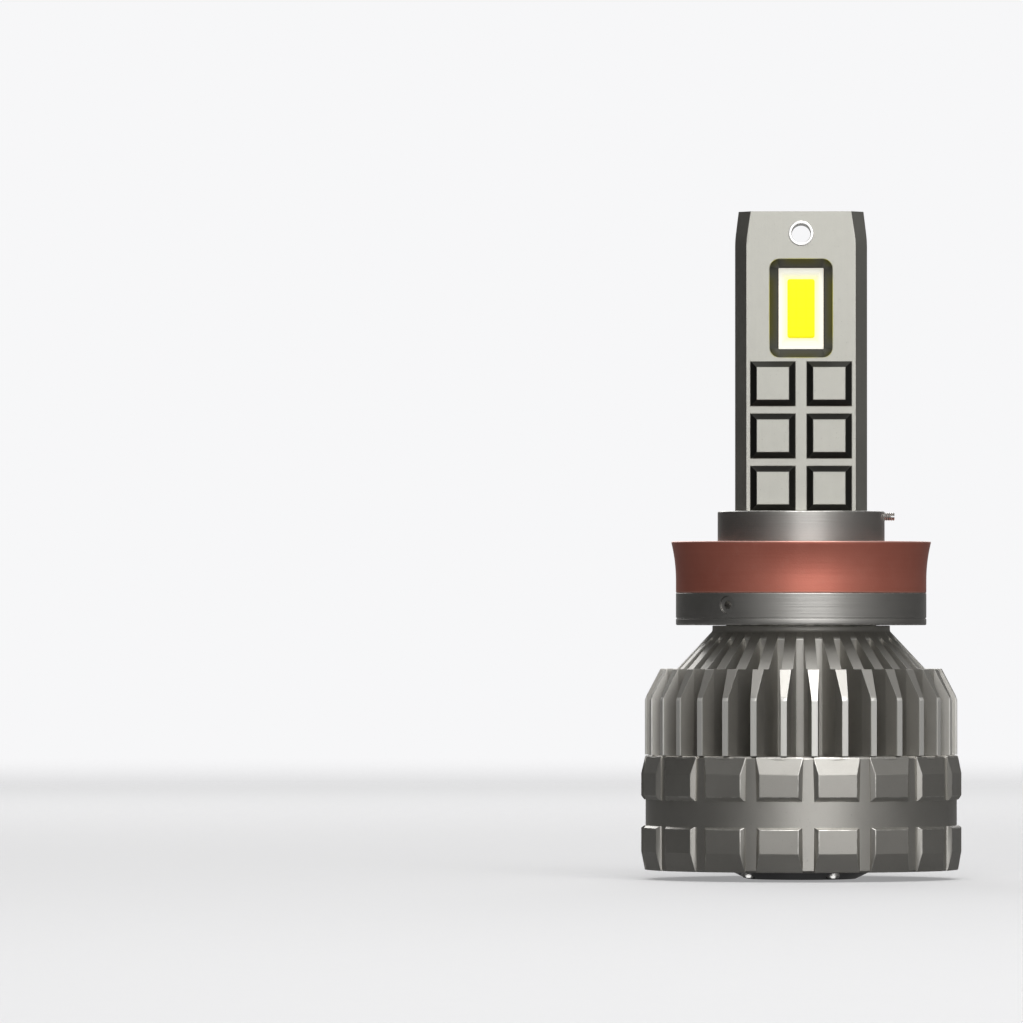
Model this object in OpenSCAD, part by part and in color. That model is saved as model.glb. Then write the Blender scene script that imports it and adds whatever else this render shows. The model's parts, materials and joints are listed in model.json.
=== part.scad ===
// LED headlight bulb: a two-sided lamp post on a finned heat sink, with a fan in its base
// and a turning collar that seats it in the lamp housing.
// Millimetres. Z is the lamp's axis and the post points up. The origin is on the axis,
// in the plane where the collar seats. The front face of the post looks along -Y.
// An azimuth is in degrees from the front, growing towards +X.

/* [Lamp post] */
// Width of the post across its flanks
post_w = 15; // [14:0.1:15.4]
// Width of the flat front face between the bevelled flanks
post_face_w = 12.4; // [11.6:0.1:12.8]
// Height of the post's tip above the seat plane
post_top = 37.5; // [36.5:0.1:40]
// Thickness of each outer plate
plate_t = 2.4; // [2.2:0.1:2.8]
// Thickness of the copper board between the plates
core_t = 1.6; // [1.2:0.1:1.8]
// Height of the cooling studs on the plates
stud_h = 0.8; // [0.3:0.1:1]
// Height of the light source's centre above the seat plane
light_z = 26.5; // [26.3:0.1:27]

/* [Collar] */
// Radius of the neck that enters the reflector
neck_r = 9.5; // [9.4:0.05:9.8]
// Height of the neck above the seat plane
neck_h = 3.45; // [3.4:0.05:4]
// Radius of the metal band below the seal
band_r = 14.25; // [14:0.05:14.6]
// Radius of the seal's flared lip
lip_r = 14.8; // [14.6:0.05:15.2]
// Depth of the seal below the seat plane
seal_h = 5.85; // [5.4:0.05:6]
// Depth of the whole collar below the seat plane
collar_h = 9.5; // [9.4:0.05:9.5]

/* [Heat sink] */
// Number of radial fins
fin_count = 32; // [24:2:34]
// Radius over the fins
fin_r = 17.8; // [17.2:0.1:18]
// Radius of the core between the fins
core_r = 10.8; // [10.6:0.1:11]
// Thickness of a fin
fin_t = 1.3; // [0.9:0.05:1.4]
// Thickness of a fin's narrowed rim
fin_rim_t = 0.68; // [0.5:0.02:0.9]

/* [Fan housing] */
// Number of grip blocks in each row
block_count = 17; // [13:1:19]
// Radius of the plain band between the grip blocks
shroud_r = 17.7; // [17.6:0.05:17.9]
// Distance from the axis to a grip block's flat face
block_face_r = 18.1; // [18:0.05:18.4]
// Width of a grip block
block_w = 5.3; // [4.6:0.1:5.5]
// Number of fan blades
blade_count = 9; // [7:1:11]
// Radius over the fan blades
blade_r = 13.7; // [12.5:0.1:13.8]

/* [Hidden] */
$fn = 96;
eps = 0.01;
// Length of a cutter that has to run clear of what it cuts
reach = 90;

// Lamp post: half thicknesses counted from the middle of the copper board
half_core = core_t / 2;
face_y = half_core + plate_t;
post_base = 3.3;
flank_y = half_core + 0.6;
flank_angle = atan2(face_y - flank_y, (post_w - post_face_w) / 2);
taper_z = post_top - 3.3;
taper_angle = 7;
core_edge_gap = 0.2;
core_top_gap = 0.6;

// Windows and light sources
led_w = 5.1;
led_h = 9.2;
led_t = 0.55;
glow_w = 3.1;
glow_h = 6.7;
glow_t = 0.12;
window_corner = 1.2;
window_root = 0.15;
window_x = 2.43;
window_z = 4.46;
window_floor_y = half_core + led_t - 0.05;

// Cooling studs: two columns of three on each plate
stud_base = 5.2;
stud_top = 3.6;
stud_x = 3.2;
stud_low_z = 6.05;
stud_pitch = 5.94;

// Eyelet that clamps the three layers together near the tip
eyelet_z = 35;
eyelet_r = 1.25;
eyelet_bore = 1.08;
eyelet_rim = 1.42;
eyelet_lip = 0.1;

// Foot of the post inside the stem, and the board's tail below it
foot_w = 12.7;
foot_t = 1.6;
foot_bottom = -8.2;
tail_w = 10;
tail_bottom = -15;
pin_z = -4.2;
pin_r = 0.8;
pin_end = 8.3;
fit_gap = 0.02;

// Stem of the heat sink inside the collar
stem_r = neck_r - 0.95;
bore_gap = 0.05;
bore_r = stem_r + bore_gap;
collar_gap = 0.05;
stem_tip_r = 7.45;
stem_tip_z = 2.25;
ring_z = -1.6;
ring_r = 0.42;
ring_groove_r = 7.7;
ring_groove_h = 1;
lock_groove_r = 7.9;
lock_groove_h = 2.2;

// Collar and its two screws
seal_bore_r = 12.5;
metal_top = -0.3;
flare_depth = 4.4;
neck_screw_r = 0.48;
neck_screw_z = 2.85;
neck_screw_azimuth = 90;
neck_screw_tip = bore_r + fit_gap;
neck_screw_end = neck_r + 1.1;
thread_pitch = 0.25;
lock_screw_r = 0.97;
lock_screw_hole_r = 1;
lock_screw_z = -7.2;
lock_screw_azimuth = -36;
lock_screw_tip = bore_r + 0.15;
lock_screw_end = band_r - 0.2;
hex_size = 0.9;

// Heat sink levels, from the shoulder under the collar down to the fan
shoulder_z = -collar_h - collar_gap;
shoulder_r = 10.1;
neck_end_z = -10.2;
step_z = -14.45;
step_in_r = 14.1;
step_out_r = 16;
cone_slope = (neck_end_z - step_z) / (step_in_r - shoulder_r);
bevel_end_z = -17.4;
rim_start_z = -18;
rim_end_z = -24.2;
sink_bottom = -27.4;
fin_step = 360 / fin_count;
fin_phase = -0.7;
base_ring_in = 14.3;
base_ring_r = 16.2;
cavity_top = -13.2;
board_z = -21;
cavity_r = 8.6;
pocket_r = 9.3;

// Fan housing levels and radii
shroud_top = -24.25;
shroud_bottom = -37.3;
shelf_z = -27.45;
lower_shelf_z = -35.65;
spigot_r = 16.25;
chamber_r = 14.2;
block_step = 360 / block_count;
block_phase = 2.6;
row_top = shroud_top - 0.05;
upper_bevel_z = -26.3;
upper_face_z = -28.85;
upper_end_z = -29.3;
lower_start_z = -32.25;
lower_face_z = -32.5;
lower_bevel_z = -35.2;
block_root_r = 16.9;
block_edge_r = shroud_r + 0.05;
shroud_screw_r = 0.7;
shroud_screw_azimuth = 45;
shroud_screw_ring = 15.2;
shroud_screw_head_r = 0.95;
shroud_screw_top = -25.3;
shroud_screw_head_z = -36.5;

// Cable outlet at the back, in place of one grip block
gland_index = (block_count - 1) / 2;
gland_azimuth = block_phase + (gland_index + 0.5) * block_step;
gland_z = -26.8;
gland_hole_r = 1.9;
gland_bore_r = 1.45;
gland_flange_r = 2.4;
gland_flange_t = 0.9;
gland_inner = 16.3;
sink_cable_z = -25.3;
sink_cable_r = 1.45;

// Fan frame, motor and rotor
frame_r = 16.2;
frame_top = -35.7;
frame_bottom = -37.2;
hub_r = 8.35;
hub_top = -36.3;
boss_r = 6.15;
boss_bottom = -38.35;
spoke_w = 1.6;
spoke_top = -36.05;
tube_r = 1.9;
tube_top = -30.2;
bearing_r = 1.45;
bearing_bottom = -36.4;
bearing_top = -30.3;
shaft_r = 0.75;
bearing_bore = 0.78;
shaft_bottom = -37.6;
clip_z = -37.1;
clip_t = 0.25;
clip_groove_r = 0.55;
hub_screw_azimuth = 31;
hub_screw_ring = 7;
hub_screw_head_r = 0.78;
hub_screw_head_z = -38.15;
hub_screw_seat_z = -37.55;
hub_screw_r = 0.45;
label_r = 4.6;
label_t = 0.1;
cup_r = 7.4;
cup_in = 6.7;
cup_top = -28.7;
cup_bottom = -35.3;
cup_roof = 0.8;
blade_low = -35.2;
blade_high = -29.2;
blade_t = 0.7;
blade_pitch = 52;
yoke_in = 6.15;
magnet_r = 6.13;
magnet_in = 5.3;
stator_r = 4.95;
stator_low = -33.9;
stator_high = -31.5;
arm_w = 1.2;
coil_in = 3;
coil_out = 4;
pole_in = 4.3;
coil_w = 2.9;
coil_h = 3.8;
fan_board_r = 6;
fan_board_low = -36.25;
fan_board_t = 0.6;

// Wires between the fan board and the driver board
wire_r = 0.26;
wire_azimuth = fin_phase + 13 * fin_step;
wire_run_z = -35.75;
wire_rise_r = 14.75;
wire_entry_z = -25.6;
wire_channel_r = 0.75;
wire_board_r = 7.4;

// Turns what is drawn at the front to an azimuth
module to(azimuth) rotate([0, 0, azimuth]) children();

// A rod along the front radius, from one radius to another
module radial_rod(r, from_r, to_r, z, fn = 48)
  translate([0, -from_r, z]) rotate([90, 0, 0]) cylinder(h = to_r - from_r, r = r, $fn = fn);

// A ring or disc between two heights
module ring(outer, inner, low, high)
  difference() {
    translate([0, 0, low]) cylinder(h = high - low, r = outer);
    if (inner > 0)
      translate([0, 0, low - 1]) cylinder(h = high - low + 2, r = inner);
  }

// A box between two opposite corners
module block(low, high) translate(low) cube(high - low);

// ---- Lamp post ----

// Removes what lies outside a flank: the upright side and the bevel, both leaning in near the tip
module flank_cutters() {
  for (side = [0, 1]) mirror([side, 0, 0]) {
    translate([post_w / 2, -reach / 2, taper_z]) rotate([0, -taper_angle, 0]) cube(reach);
    translate([post_face_w / 2, -face_y, -reach / 2]) rotate([0, 0, flank_angle - 90])
      translate([0, -reach / 2, 0]) cube(reach);
    translate([post_face_w / 2, -face_y, taper_z]) rotate([0, 0, flank_angle - 90])
      rotate([0, -taper_angle, 0]) translate([0, -reach / 2, 0]) cube(reach);
  }
}

// One raised stud: a square pyramid cut off flat
module stud() {
  slope = [[-stud_base / 2, eps], [stud_base / 2, eps], [stud_top / 2, -stud_h], [-stud_top / 2, -stud_h]];
  intersection() {
    linear_extrude(stud_base, center = true) polygon(slope);
    rotate([0, 90, 0]) linear_extrude(stud_base, center = true) polygon(slope);
  }
}

// Section of the recess between two corner cones, as [distance from its middle, depth]
function window_section(half) = [
  [-half - window_corner, -face_y], [half + window_corner, -face_y],
  [half + window_root, -window_floor_y], [-half - window_root, -window_floor_y]
];

// Recess around a light source: sloped walls between round corners, down to a snug opening
module window_cut() {
  translate([0, 0, light_z]) {
    for (x = [-window_x, window_x], z = [-window_z, window_z])
      translate([x, -face_y, z]) rotate([-90, 0, 0])
        cylinder(h = face_y - window_floor_y, r1 = window_corner, r2 = window_root);
    linear_extrude(2 * window_z, center = true) polygon(window_section(window_x));
    rotate([0, 90, 0]) linear_extrude(2 * window_x, center = true) polygon(window_section(window_z));
    block([-led_w / 2 - fit_gap, -window_floor_y - eps, -led_h / 2 - fit_gap],
          [led_w / 2 + fit_gap, 0, led_h / 2 + fit_gap]);
  }
}

// A round hole from front to back, through the axis
module cross_hole(r, z)
  translate([0, 0, z]) rotate([90, 0, 0]) cylinder(h = reach, r = r, center = true, $fn = 48);

module plate() {
  difference() {
    union() {
      difference() {
        block([-post_w / 2, -face_y, post_base], [post_w / 2, -half_core, post_top]);
        flank_cutters();
      }
      block([-foot_w / 2, -half_core - foot_t, foot_bottom], [foot_w / 2, -half_core, post_base + eps]);
      for (x = [-stud_x, stud_x], row = [0 : 2])
        translate([x, -face_y, stud_low_z + row * stud_pitch]) stud();
    }
    window_cut();
    cross_hole(eyelet_r + fit_gap, eyelet_z);
    cross_hole(pin_r, pin_z);
  }
}

module front_plate() color("silver") plate();
module rear_plate() color("silver") rotate([0, 0, 180]) plate();

module copper_board() color("peru") difference() {
  union() {
    block([core_edge_gap - post_w / 2, -half_core, post_base],
          [post_w / 2 - core_edge_gap, half_core, post_top - core_top_gap]);
    block([-foot_w / 2, -half_core, foot_bottom], [foot_w / 2, half_core, post_base]);
    block([-tail_w / 2, -half_core, tail_bottom], [tail_w / 2, half_core, foot_bottom]);
  }
  for (side = [0, 1]) mirror([side, 0, 0])
    translate([post_w / 2 - core_edge_gap, -reach / 2, taper_z]) rotate([0, -taper_angle, 0]) cube(reach);
  cross_hole(eyelet_r + fit_gap, eyelet_z);
  cross_hole(pin_r, pin_z);
}

module led_base()
  block([-led_w / 2, -half_core - led_t, light_z - led_h / 2], [led_w / 2, -half_core, light_z + led_h / 2]);
module phosphor()
  block([-glow_w / 2, -half_core - led_t - glow_t, light_z - glow_h / 2],
        [glow_w / 2, -half_core - led_t, light_z + glow_h / 2]);
module led_base_front() color("white") led_base();
module led_base_rear() color("white") rotate([0, 0, 180]) led_base();
module phosphor_front() color("yellow") phosphor();
module phosphor_rear() color("yellow") rotate([0, 0, 180]) phosphor();

module post_eyelet() color("gainsboro")
  translate([0, 0, eyelet_z]) rotate([90, 0, 0]) rotate_extrude($fn = 48)
    polygon([
      [eyelet_bore, -face_y - eyelet_lip], [eyelet_rim - eyelet_lip, -face_y - eyelet_lip],
      [eyelet_rim, -face_y], [eyelet_r, -face_y],
      [eyelet_r, face_y], [eyelet_rim, face_y],
      [eyelet_rim - eyelet_lip, face_y + eyelet_lip], [eyelet_bore, face_y + eyelet_lip]
    ]);

module foot_pin() color("gray")
  translate([0, -pin_end, pin_z]) rotate([-90, 0, 0]) cylinder(h = 2 * pin_end, r = pin_r - fit_gap, $fn = 48);

// ---- Collar ----

module collar() color("darkgray") difference() {
  rotate_extrude() polygon([
    [bore_r, -collar_h], [band_r, -collar_h], [band_r, -seal_h], [seal_bore_r, -seal_h],
    [seal_bore_r, metal_top], [neck_r, metal_top], [neck_r, neck_h - 0.15], [neck_r - 0.15, neck_h],
    [bore_r + 0.1, neck_h], [bore_r, neck_h - 0.1]
  ]);
  to(neck_screw_azimuth) radial_rod(neck_screw_r + 0.02, 7, 12, neck_screw_z);
  to(lock_screw_azimuth) radial_rod(lock_screw_hole_r, 7, 16, lock_screw_z);
}

// Silicone band whose outer face flares to a lip along a quarter of a large circle
module seal_ring() color("indianred") {
  flare = lip_r - band_r;
  flare_circle = (flare_depth * flare_depth + flare * flare) / (2 * flare);
  rotate_extrude() difference() {
    translate([seal_bore_r, -seal_h]) square([lip_r - seal_bore_r, seal_h]);
    translate([band_r + flare_circle, -flare_depth]) circle(r = flare_circle, $fn = 360);
    translate([band_r, -seal_h - 1]) square([5, seal_h + 1 - flare_depth]);
  }
}

// Profile of a threaded rod along Y: crests between two ends
function crests(r, depth, pitch, from, turns) =
  [for (i = [0 : turns - 1]) each [[r - depth, from + i * pitch], [r, from + (i + 0.5) * pitch]]];

module threaded_rod(r, depth, pitch, from, turns) {
  end = from + turns * pitch;
  rotate_extrude($fn = 32) polygon(concat([[0, from]], crests(r, depth, pitch, from, turns),
    [[r - depth, end], [0, end]]));
}

// Small screw that grips the stem, standing proud of the neck
module neck_screw() color("lightgray") to(neck_screw_azimuth)
  difference() {
    translate([0, 0, neck_screw_z]) rotate([90, 0, 0])
      threaded_rod(neck_screw_r, 0.08, thread_pitch, neck_screw_tip, 8);
    translate([-1, -neck_screw_end - 0.5, neck_screw_z - 0.07]) cube([2, 0.9, 0.14]);
  }

// Headless screw with a hexagon socket, flush with the band
module lock_screw() color("dimgray") to(lock_screw_azimuth) difference() {
  radial_rod(lock_screw_r, lock_screw_tip, lock_screw_end, lock_screw_z);
  translate([0, -lock_screw_end + 1.1, lock_screw_z]) rotate([90, 0, 0])
    cylinder(h = 2, r = hex_size / 2 / cos(30), $fn = 6);
}

module stem_o_ring() color("black") translate([0, 0, ring_z]) rotate_extrude()
  translate([ring_groove_r + fit_gap + ring_r, 0]) circle(r = ring_r, $fn = 32);

// ---- Heat sink ----

// Plan of one fin along the front radius, narrowing from the step outwards
// The fins are rooted this far inside the core
fin_root_r = 9.9;

module fin_plan() polygon([
  [-fin_t / 2, -fin_root_r], [fin_t / 2, -fin_root_r], [fin_t / 2, -step_out_r],
  [fin_rim_t / 2, -fin_r], [fin_rim_t / 2, -fin_r - 1], [-fin_rim_t / 2, -fin_r - 1],
  [-fin_rim_t / 2, -fin_r], [-fin_t / 2, -step_out_r]
]);

module fins() intersection() {
  rotate_extrude() polygon([
    [fin_root_r, neck_end_z + 0.2], [shoulder_r, neck_end_z], [step_in_r, step_z], [step_out_r, step_z],
    [fin_r - 0.23, bevel_end_z], [fin_r, rim_start_z], [fin_r, rim_end_z], [base_ring_r, rim_end_z],
    [base_ring_r, sink_bottom], [fin_root_r, sink_bottom]
  ]);
  for (i = [0 : fin_count - 1])
    to(fin_phase + (i + 0.5) * fin_step)
      translate([0, 0, sink_bottom - 1]) linear_extrude(reach) fin_plan();
}

// Stem, shoulder and core in one turning, hollow below for the driver
module core() difference() {
  rotate_extrude() polygon([
    [0, post_base], [stem_tip_r, post_base], [stem_tip_r, stem_tip_z], [stem_r, stem_tip_z],
    [stem_r, ring_z + ring_groove_h / 2], [ring_groove_r, ring_z + ring_groove_h / 2],
    [ring_groove_r, ring_z - ring_groove_h / 2], [stem_r, ring_z - ring_groove_h / 2],
    [stem_r, lock_screw_z + lock_groove_h / 2], [lock_groove_r, lock_screw_z + lock_groove_h / 2],
    [lock_groove_r, lock_screw_z - lock_groove_h / 2], [stem_r, lock_screw_z - lock_groove_h / 2],
    [stem_r, shoulder_z], [shoulder_r, shoulder_z], [shoulder_r, neck_end_z],
    [core_r, neck_end_z - (core_r - shoulder_r) * cone_slope],
    [core_r, sink_bottom], [pocket_r, sink_bottom], [pocket_r, board_z], [cavity_r, board_z],
    [cavity_r, cavity_top], [0, cavity_top]
  ]);
  block([-foot_w / 2 - fit_gap, -half_core - foot_t - fit_gap, foot_bottom - fit_gap],
        [foot_w / 2 + fit_gap, half_core + foot_t + fit_gap, post_base + 1]);
  block([-tail_w / 2 - fit_gap, -half_core - fit_gap, cavity_top - 1],
        [tail_w / 2 + fit_gap, half_core + fit_gap, foot_bottom + 1]);
  cross_hole(pin_r, pin_z);
}

module heat_sink() color("gray") difference() {
  union() {
    core();
    fins();
    ring(base_ring_r, base_ring_in, sink_bottom, rim_end_z - 0.1);
  }
  for (i = [0 : 3]) to(shroud_screw_azimuth + i * 90)
    translate([0, -shroud_screw_ring, sink_bottom - 1])
      cylinder(h = shroud_screw_top + 0.2 - sink_bottom + 1, r = shroud_screw_r + 0.02, $fn = 32);
  to(gland_azimuth) {
    radial_rod(sink_cable_r, 8, 12, sink_cable_z);
    radial_rod(gland_hole_r, core_r + 0.2, fin_r, gland_z);
  }
  to(wire_azimuth) {
    radial_rod(wire_channel_r, 8, wire_rise_r, wire_entry_z, 32);
    translate([0, -wire_rise_r, sink_bottom - 1])
      cylinder(h = wire_entry_z + wire_channel_r - sink_bottom + 1, r = wire_channel_r, $fn = 32);
  }
}

// ---- Driver, inside the heat sink ----

board_t = 1;
board_r = pocket_r - 0.05;
// Underside of the board, where the tall parts hang
under = board_z - board_t;
coil_at = [-4, -2.2];
drum_r = 2.7;
drum_h = 3.6;
drum_flange = 0.7;
drum_waist_r = 2.2;
capacitor_places = [[3.4, -4.6], [5.6, -0.6], [2, -0.9]];
capacitor_r = 1.6;
capacitor_h = 3.4;
chip_places = [[-4.6, 3.4], [3.6, 3.6], [0, -5]];
chip_size = [3.8, 2.8, 1.2];
terminal_low = [-2.6, 4.4, under - 3.2];
terminal_high = [2.6, 7.4, under];
terminal_pitch = 2.5;
lead_r = 0.45;
lead_pitch = 5;

module driver_board() color("darkgreen") ring(board_r, 0, under, board_z);

// Ferrite drum with its winding waist
module driver_coil() color("dimgray")
  translate([coil_at[0], coil_at[1], under - drum_h]) rotate_extrude($fn = 48) polygon([
    [0, 0], [drum_r, 0], [drum_r, drum_flange], [drum_waist_r, drum_flange + 0.2],
    [drum_waist_r, drum_h - drum_flange - 0.2], [drum_r, drum_h - drum_flange], [drum_r, drum_h], [0, drum_h]
  ]);

module driver_capacitors() color("slategray") for (place = capacitor_places)
  translate([place[0], place[1], under - capacitor_h]) cylinder(h = capacitor_h, r = capacitor_r, $fn = 40);

module driver_chips() color("black") for (place = chip_places)
  translate([place[0] - chip_size[0] / 2, place[1] - chip_size[1] / 2, board_z]) cube(chip_size);

// Two-way terminal that takes the supply cable
module input_terminal() color("green") difference() {
  block(terminal_low, terminal_high);
  for (side = [-1, 1])
    translate([side * terminal_pitch / 2, terminal_low[1] + 1, (terminal_low[2] + terminal_high[2]) / 2])
      rotate([-90, 0, 0]) cylinder(h = reach, r = 0.85, $fn = 32);
}

module driver_cap() color("black") ring(pocket_r - 0.03, 0, sink_bottom, sink_bottom + 0.55);

// Two wires that stand on the board, beside the tail of the copper board
module led_leads() color("red") for (side = [-1, 1])
  translate([side * lead_pitch / 2, -half_core - lead_r - fit_gap, board_z])
    cylinder(h = cavity_top - 0.4 - board_z, r = lead_r, $fn = 24);

// ---- Fan housing ----

// The outer bevels of the blocks start this far inside the wall, at the ends it is itself chamfered
upper_bevel_inset = 0.1;
lower_bevel_inset = 0.05;

// Profiles of the two rows of grip blocks, as [distance from the axis, height]
upper_row = [
  [block_root_r, row_top], [shroud_r - upper_bevel_inset, row_top], [block_face_r, upper_bevel_z],
  [block_face_r, upper_face_z], [block_edge_r, upper_end_z], [block_root_r, upper_end_z]
];
lower_row = [
  [block_root_r, lower_start_z], [block_edge_r, lower_start_z], [block_face_r, lower_face_z],
  [block_face_r, lower_bevel_z], [shroud_r - lower_bevel_inset, shroud_bottom], [block_root_r, shroud_bottom]
];
// The block at the cable outlet is plain, so that the gland's flange lies flat on it
outlet_block = [
  [block_root_r, row_top], [block_face_r, row_top], [block_face_r, upper_end_z], [block_root_r, upper_end_z]
];

module grip_block(profile)
  rotate([0, 0, -90]) rotate([90, 0, 0]) linear_extrude(block_w, center = true) polygon(profile);

module fan_shroud() color("gray") difference() {
  union() {
    rotate_extrude() polygon([
      [spigot_r, shroud_top], [shroud_r - 0.25, shroud_top], [shroud_r, shroud_top - 0.25],
      [shroud_r, shroud_bottom + 0.2], [shroud_r - 0.2, shroud_bottom],
      [spigot_r, shroud_bottom], [spigot_r, lower_shelf_z], [chamber_r, lower_shelf_z],
      [chamber_r, shelf_z], [spigot_r, shelf_z]
    ]);
    for (i = [0 : block_count - 1]) to(block_phase + (i + 0.5) * block_step) {
      grip_block(i == gland_index ? outlet_block : upper_row);
      grip_block(lower_row);
    }
  }
  to(gland_azimuth) radial_rod(gland_hole_r, chamber_r - 1, block_face_r + 1, gland_z);
  for (i = [0 : 3]) to(shroud_screw_azimuth + i * 90)
    translate([0, -shroud_screw_ring, lower_shelf_z - 1])
      cylinder(h = shelf_z - lower_shelf_z + 2, r = shroud_screw_r + 0.05, $fn = 32);
  to(wire_azimuth) translate([0, -wire_rise_r, lower_shelf_z - 1])
    cylinder(h = shelf_z - lower_shelf_z + 2, r = wire_channel_r, $fn = 32);
}

// Rubber grommet in the outlet, open for a two-core cable
module cable_gland() color("black") to(gland_azimuth) translate([0, 0, gland_z]) rotate([90, 0, 0])
  rotate_extrude($fn = 64) polygon([
    [gland_bore_r, gland_inner], [gland_hole_r - 0.02, gland_inner],
    [gland_hole_r - 0.02, block_face_r], [gland_flange_r, block_face_r],
    [gland_flange_r, block_face_r + gland_flange_t - 0.3], [gland_flange_r - 0.3, block_face_r + gland_flange_t],
    [gland_bore_r, block_face_r + gland_flange_t]
  ]);

// Frame of the fan: rim, four spokes, hub with its boss below and the bearing tube above
module fan_frame() color("black") difference() {
  union() {
    ring(frame_r, chamber_r, frame_bottom, frame_top);
    for (i = [0 : 3]) to(wire_azimuth + i * 90)
      block([-spoke_w / 2, -chamber_r - 0.5, frame_bottom], [spoke_w / 2, -hub_r + 0.5, spoke_top]);
    rotate_extrude() polygon([
      [0, boss_bottom], [boss_r, boss_bottom], [hub_r, shroud_bottom], [hub_r, hub_top],
      [tube_r, hub_top], [tube_r, tube_top], [0, tube_top]
    ]);
  }
  translate([0, 0, bearing_bottom]) cylinder(h = reach, r = bearing_r, $fn = 48);
  translate([0, 0, boss_bottom - 1]) cylinder(h = bearing_bottom - boss_bottom + 1 + eps, r = 2.4, $fn = 48);
  translate([0, 0, boss_bottom - 1]) cylinder(h = 1 + label_t + 0.02, r = label_r + 0.05);
  for (i = [0 : 3]) to(hub_screw_azimuth + i * 90) translate([0, -hub_screw_ring, boss_bottom - 1]) {
    cylinder(h = hub_screw_seat_z - boss_bottom + 1, r = hub_screw_head_r + 0.04, $fn = 32);
    cylinder(h = hub_top - boss_bottom + 2, r = hub_screw_r + 0.02, $fn = 32);
  }
  for (i = [0 : 3]) to(shroud_screw_azimuth + i * 90) translate([0, -shroud_screw_ring, frame_bottom - 1]) {
    cylinder(h = shroud_screw_head_z - frame_bottom + 1, r = shroud_screw_head_r + 0.03, $fn = 32);
    cylinder(h = reach, r = shroud_screw_r + 0.05, $fn = 32);
  }
  to(wire_azimuth) block([-wire_channel_r, -wire_rise_r - wire_channel_r, spoke_top],
                         [wire_channel_r, 1 - chamber_r, frame_top + 1]);
}

// Pan-head screw pointing up, with a cross recess in its head
module small_screw(head_r, head_h, r, length) difference() {
  rotate_extrude($fn = 32) polygon([
    [0, -head_h], [head_r * 0.7, -head_h], [head_r, -head_h * 0.55], [head_r, 0], [r, 0],
    [r, length - 0.2], [r - 0.2, length], [0, length]
  ]);
  for (turn = [0, 90]) rotate([0, 0, turn])
    translate([-head_r * 0.6, -head_r * 0.13, -head_h - 1]) cube([head_r * 1.2, head_r * 0.26, 1 + head_h * 0.55]);
}

module hub_screws() color("silver")
  for (i = [0 : 3]) to(hub_screw_azimuth + i * 90) translate([0, -hub_screw_ring, hub_screw_seat_z])
    small_screw(hub_screw_head_r, hub_screw_seat_z - hub_screw_head_z, hub_screw_r, hub_top - hub_screw_seat_z - 0.02);

module shroud_screws() color("dimgray")
  for (i = [0 : 3]) to(shroud_screw_azimuth + i * 90) translate([0, -shroud_screw_ring, shroud_screw_head_z])
    small_screw(shroud_screw_head_r, 0.6, shroud_screw_r, shroud_screw_top - shroud_screw_head_z);

module hub_label() color("lightgray") ring(label_r, 0, boss_bottom + 0.02, boss_bottom + 0.02 + label_t);

// ---- Fan rotor ----

// One blade: a flat vane set at an angle, trimmed to the ring between the cup and the tips
module blade() {
  height = blade_high - blade_low;
  translate([0, -(cup_r + blade_r) / 2, (blade_low + blade_high) / 2]) rotate([0, blade_pitch, 0])
    cube([12, blade_r - cup_r + 4, blade_t], center = true);
}

module fan_rotor() color("black") difference() {
  union() {
    rotate_extrude() polygon([
      [shaft_r + 0.01, cup_top], [cup_r - 0.4, cup_top], [cup_r, cup_top - 0.4], [cup_r, cup_bottom],
      [cup_in, cup_bottom], [cup_in, cup_top - cup_roof], [1.7, cup_top - cup_roof],
      [1.7, cup_top - cup_roof - 0.5], [shaft_r + 0.01, cup_top - cup_roof - 0.5]
    ]);
    intersection() {
      ring(blade_r, cup_r - 0.3, blade_low, blade_high);
      for (i = [0 : blade_count - 1]) to(i * 360 / blade_count) blade();
    }
  }
}

module rotor_yoke() color("gray") ring(cup_in - 0.02, yoke_in, cup_bottom + 0.1, cup_top - cup_roof - 0.05);
module rotor_magnet() color("dimgray") ring(magnet_r, magnet_in, cup_bottom + 0.4, cup_top - cup_roof - 0.8);

module fan_shaft() color("silver") difference() {
  translate([0, 0, shaft_bottom]) cylinder(h = cup_top - 0.1 - shaft_bottom, r = shaft_r, $fn = 48);
  ring(2, clip_groove_r, clip_z - clip_t / 2 - 0.02, clip_z + clip_t / 2 + 0.02);
}

// Open retaining ring in the shaft's groove
module shaft_clip() color("gold") difference() {
  ring(1.5, clip_groove_r + 0.02, clip_z - clip_t / 2, clip_z + clip_t / 2);
  translate([-0.3, 0, clip_z - 1]) cube([0.6, 3, 2]);
}

// ---- Fan motor, fixed in the frame ----

module fan_bearing() color("goldenrod") ring(bearing_r - 0.005, bearing_bore, bearing_bottom, bearing_top);

// Half the angle each pole spans, and the length of the sector that trims it
pole_half = 34;
pole_cut_r = 8;

// Four-pole core of stacked sheets
module stator_core() color("gray") {
  ring(coil_in - 0.1, tube_r + 0.02, stator_low, stator_high);
  for (i = [0 : 3]) rotate([0, 0, i * 90]) {
    block([coil_in - 0.3, -arm_w / 2, stator_low], [pole_in + 0.2, arm_w / 2, stator_high]);
    intersection() {
      ring(stator_r, pole_in, stator_low, stator_high);
      linear_extrude(reach, center = true) polygon([
        [0, 0], [pole_cut_r, -pole_cut_r * tan(pole_half)], [pole_cut_r, pole_cut_r * tan(pole_half)]
      ]);
    }
  }
}

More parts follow.
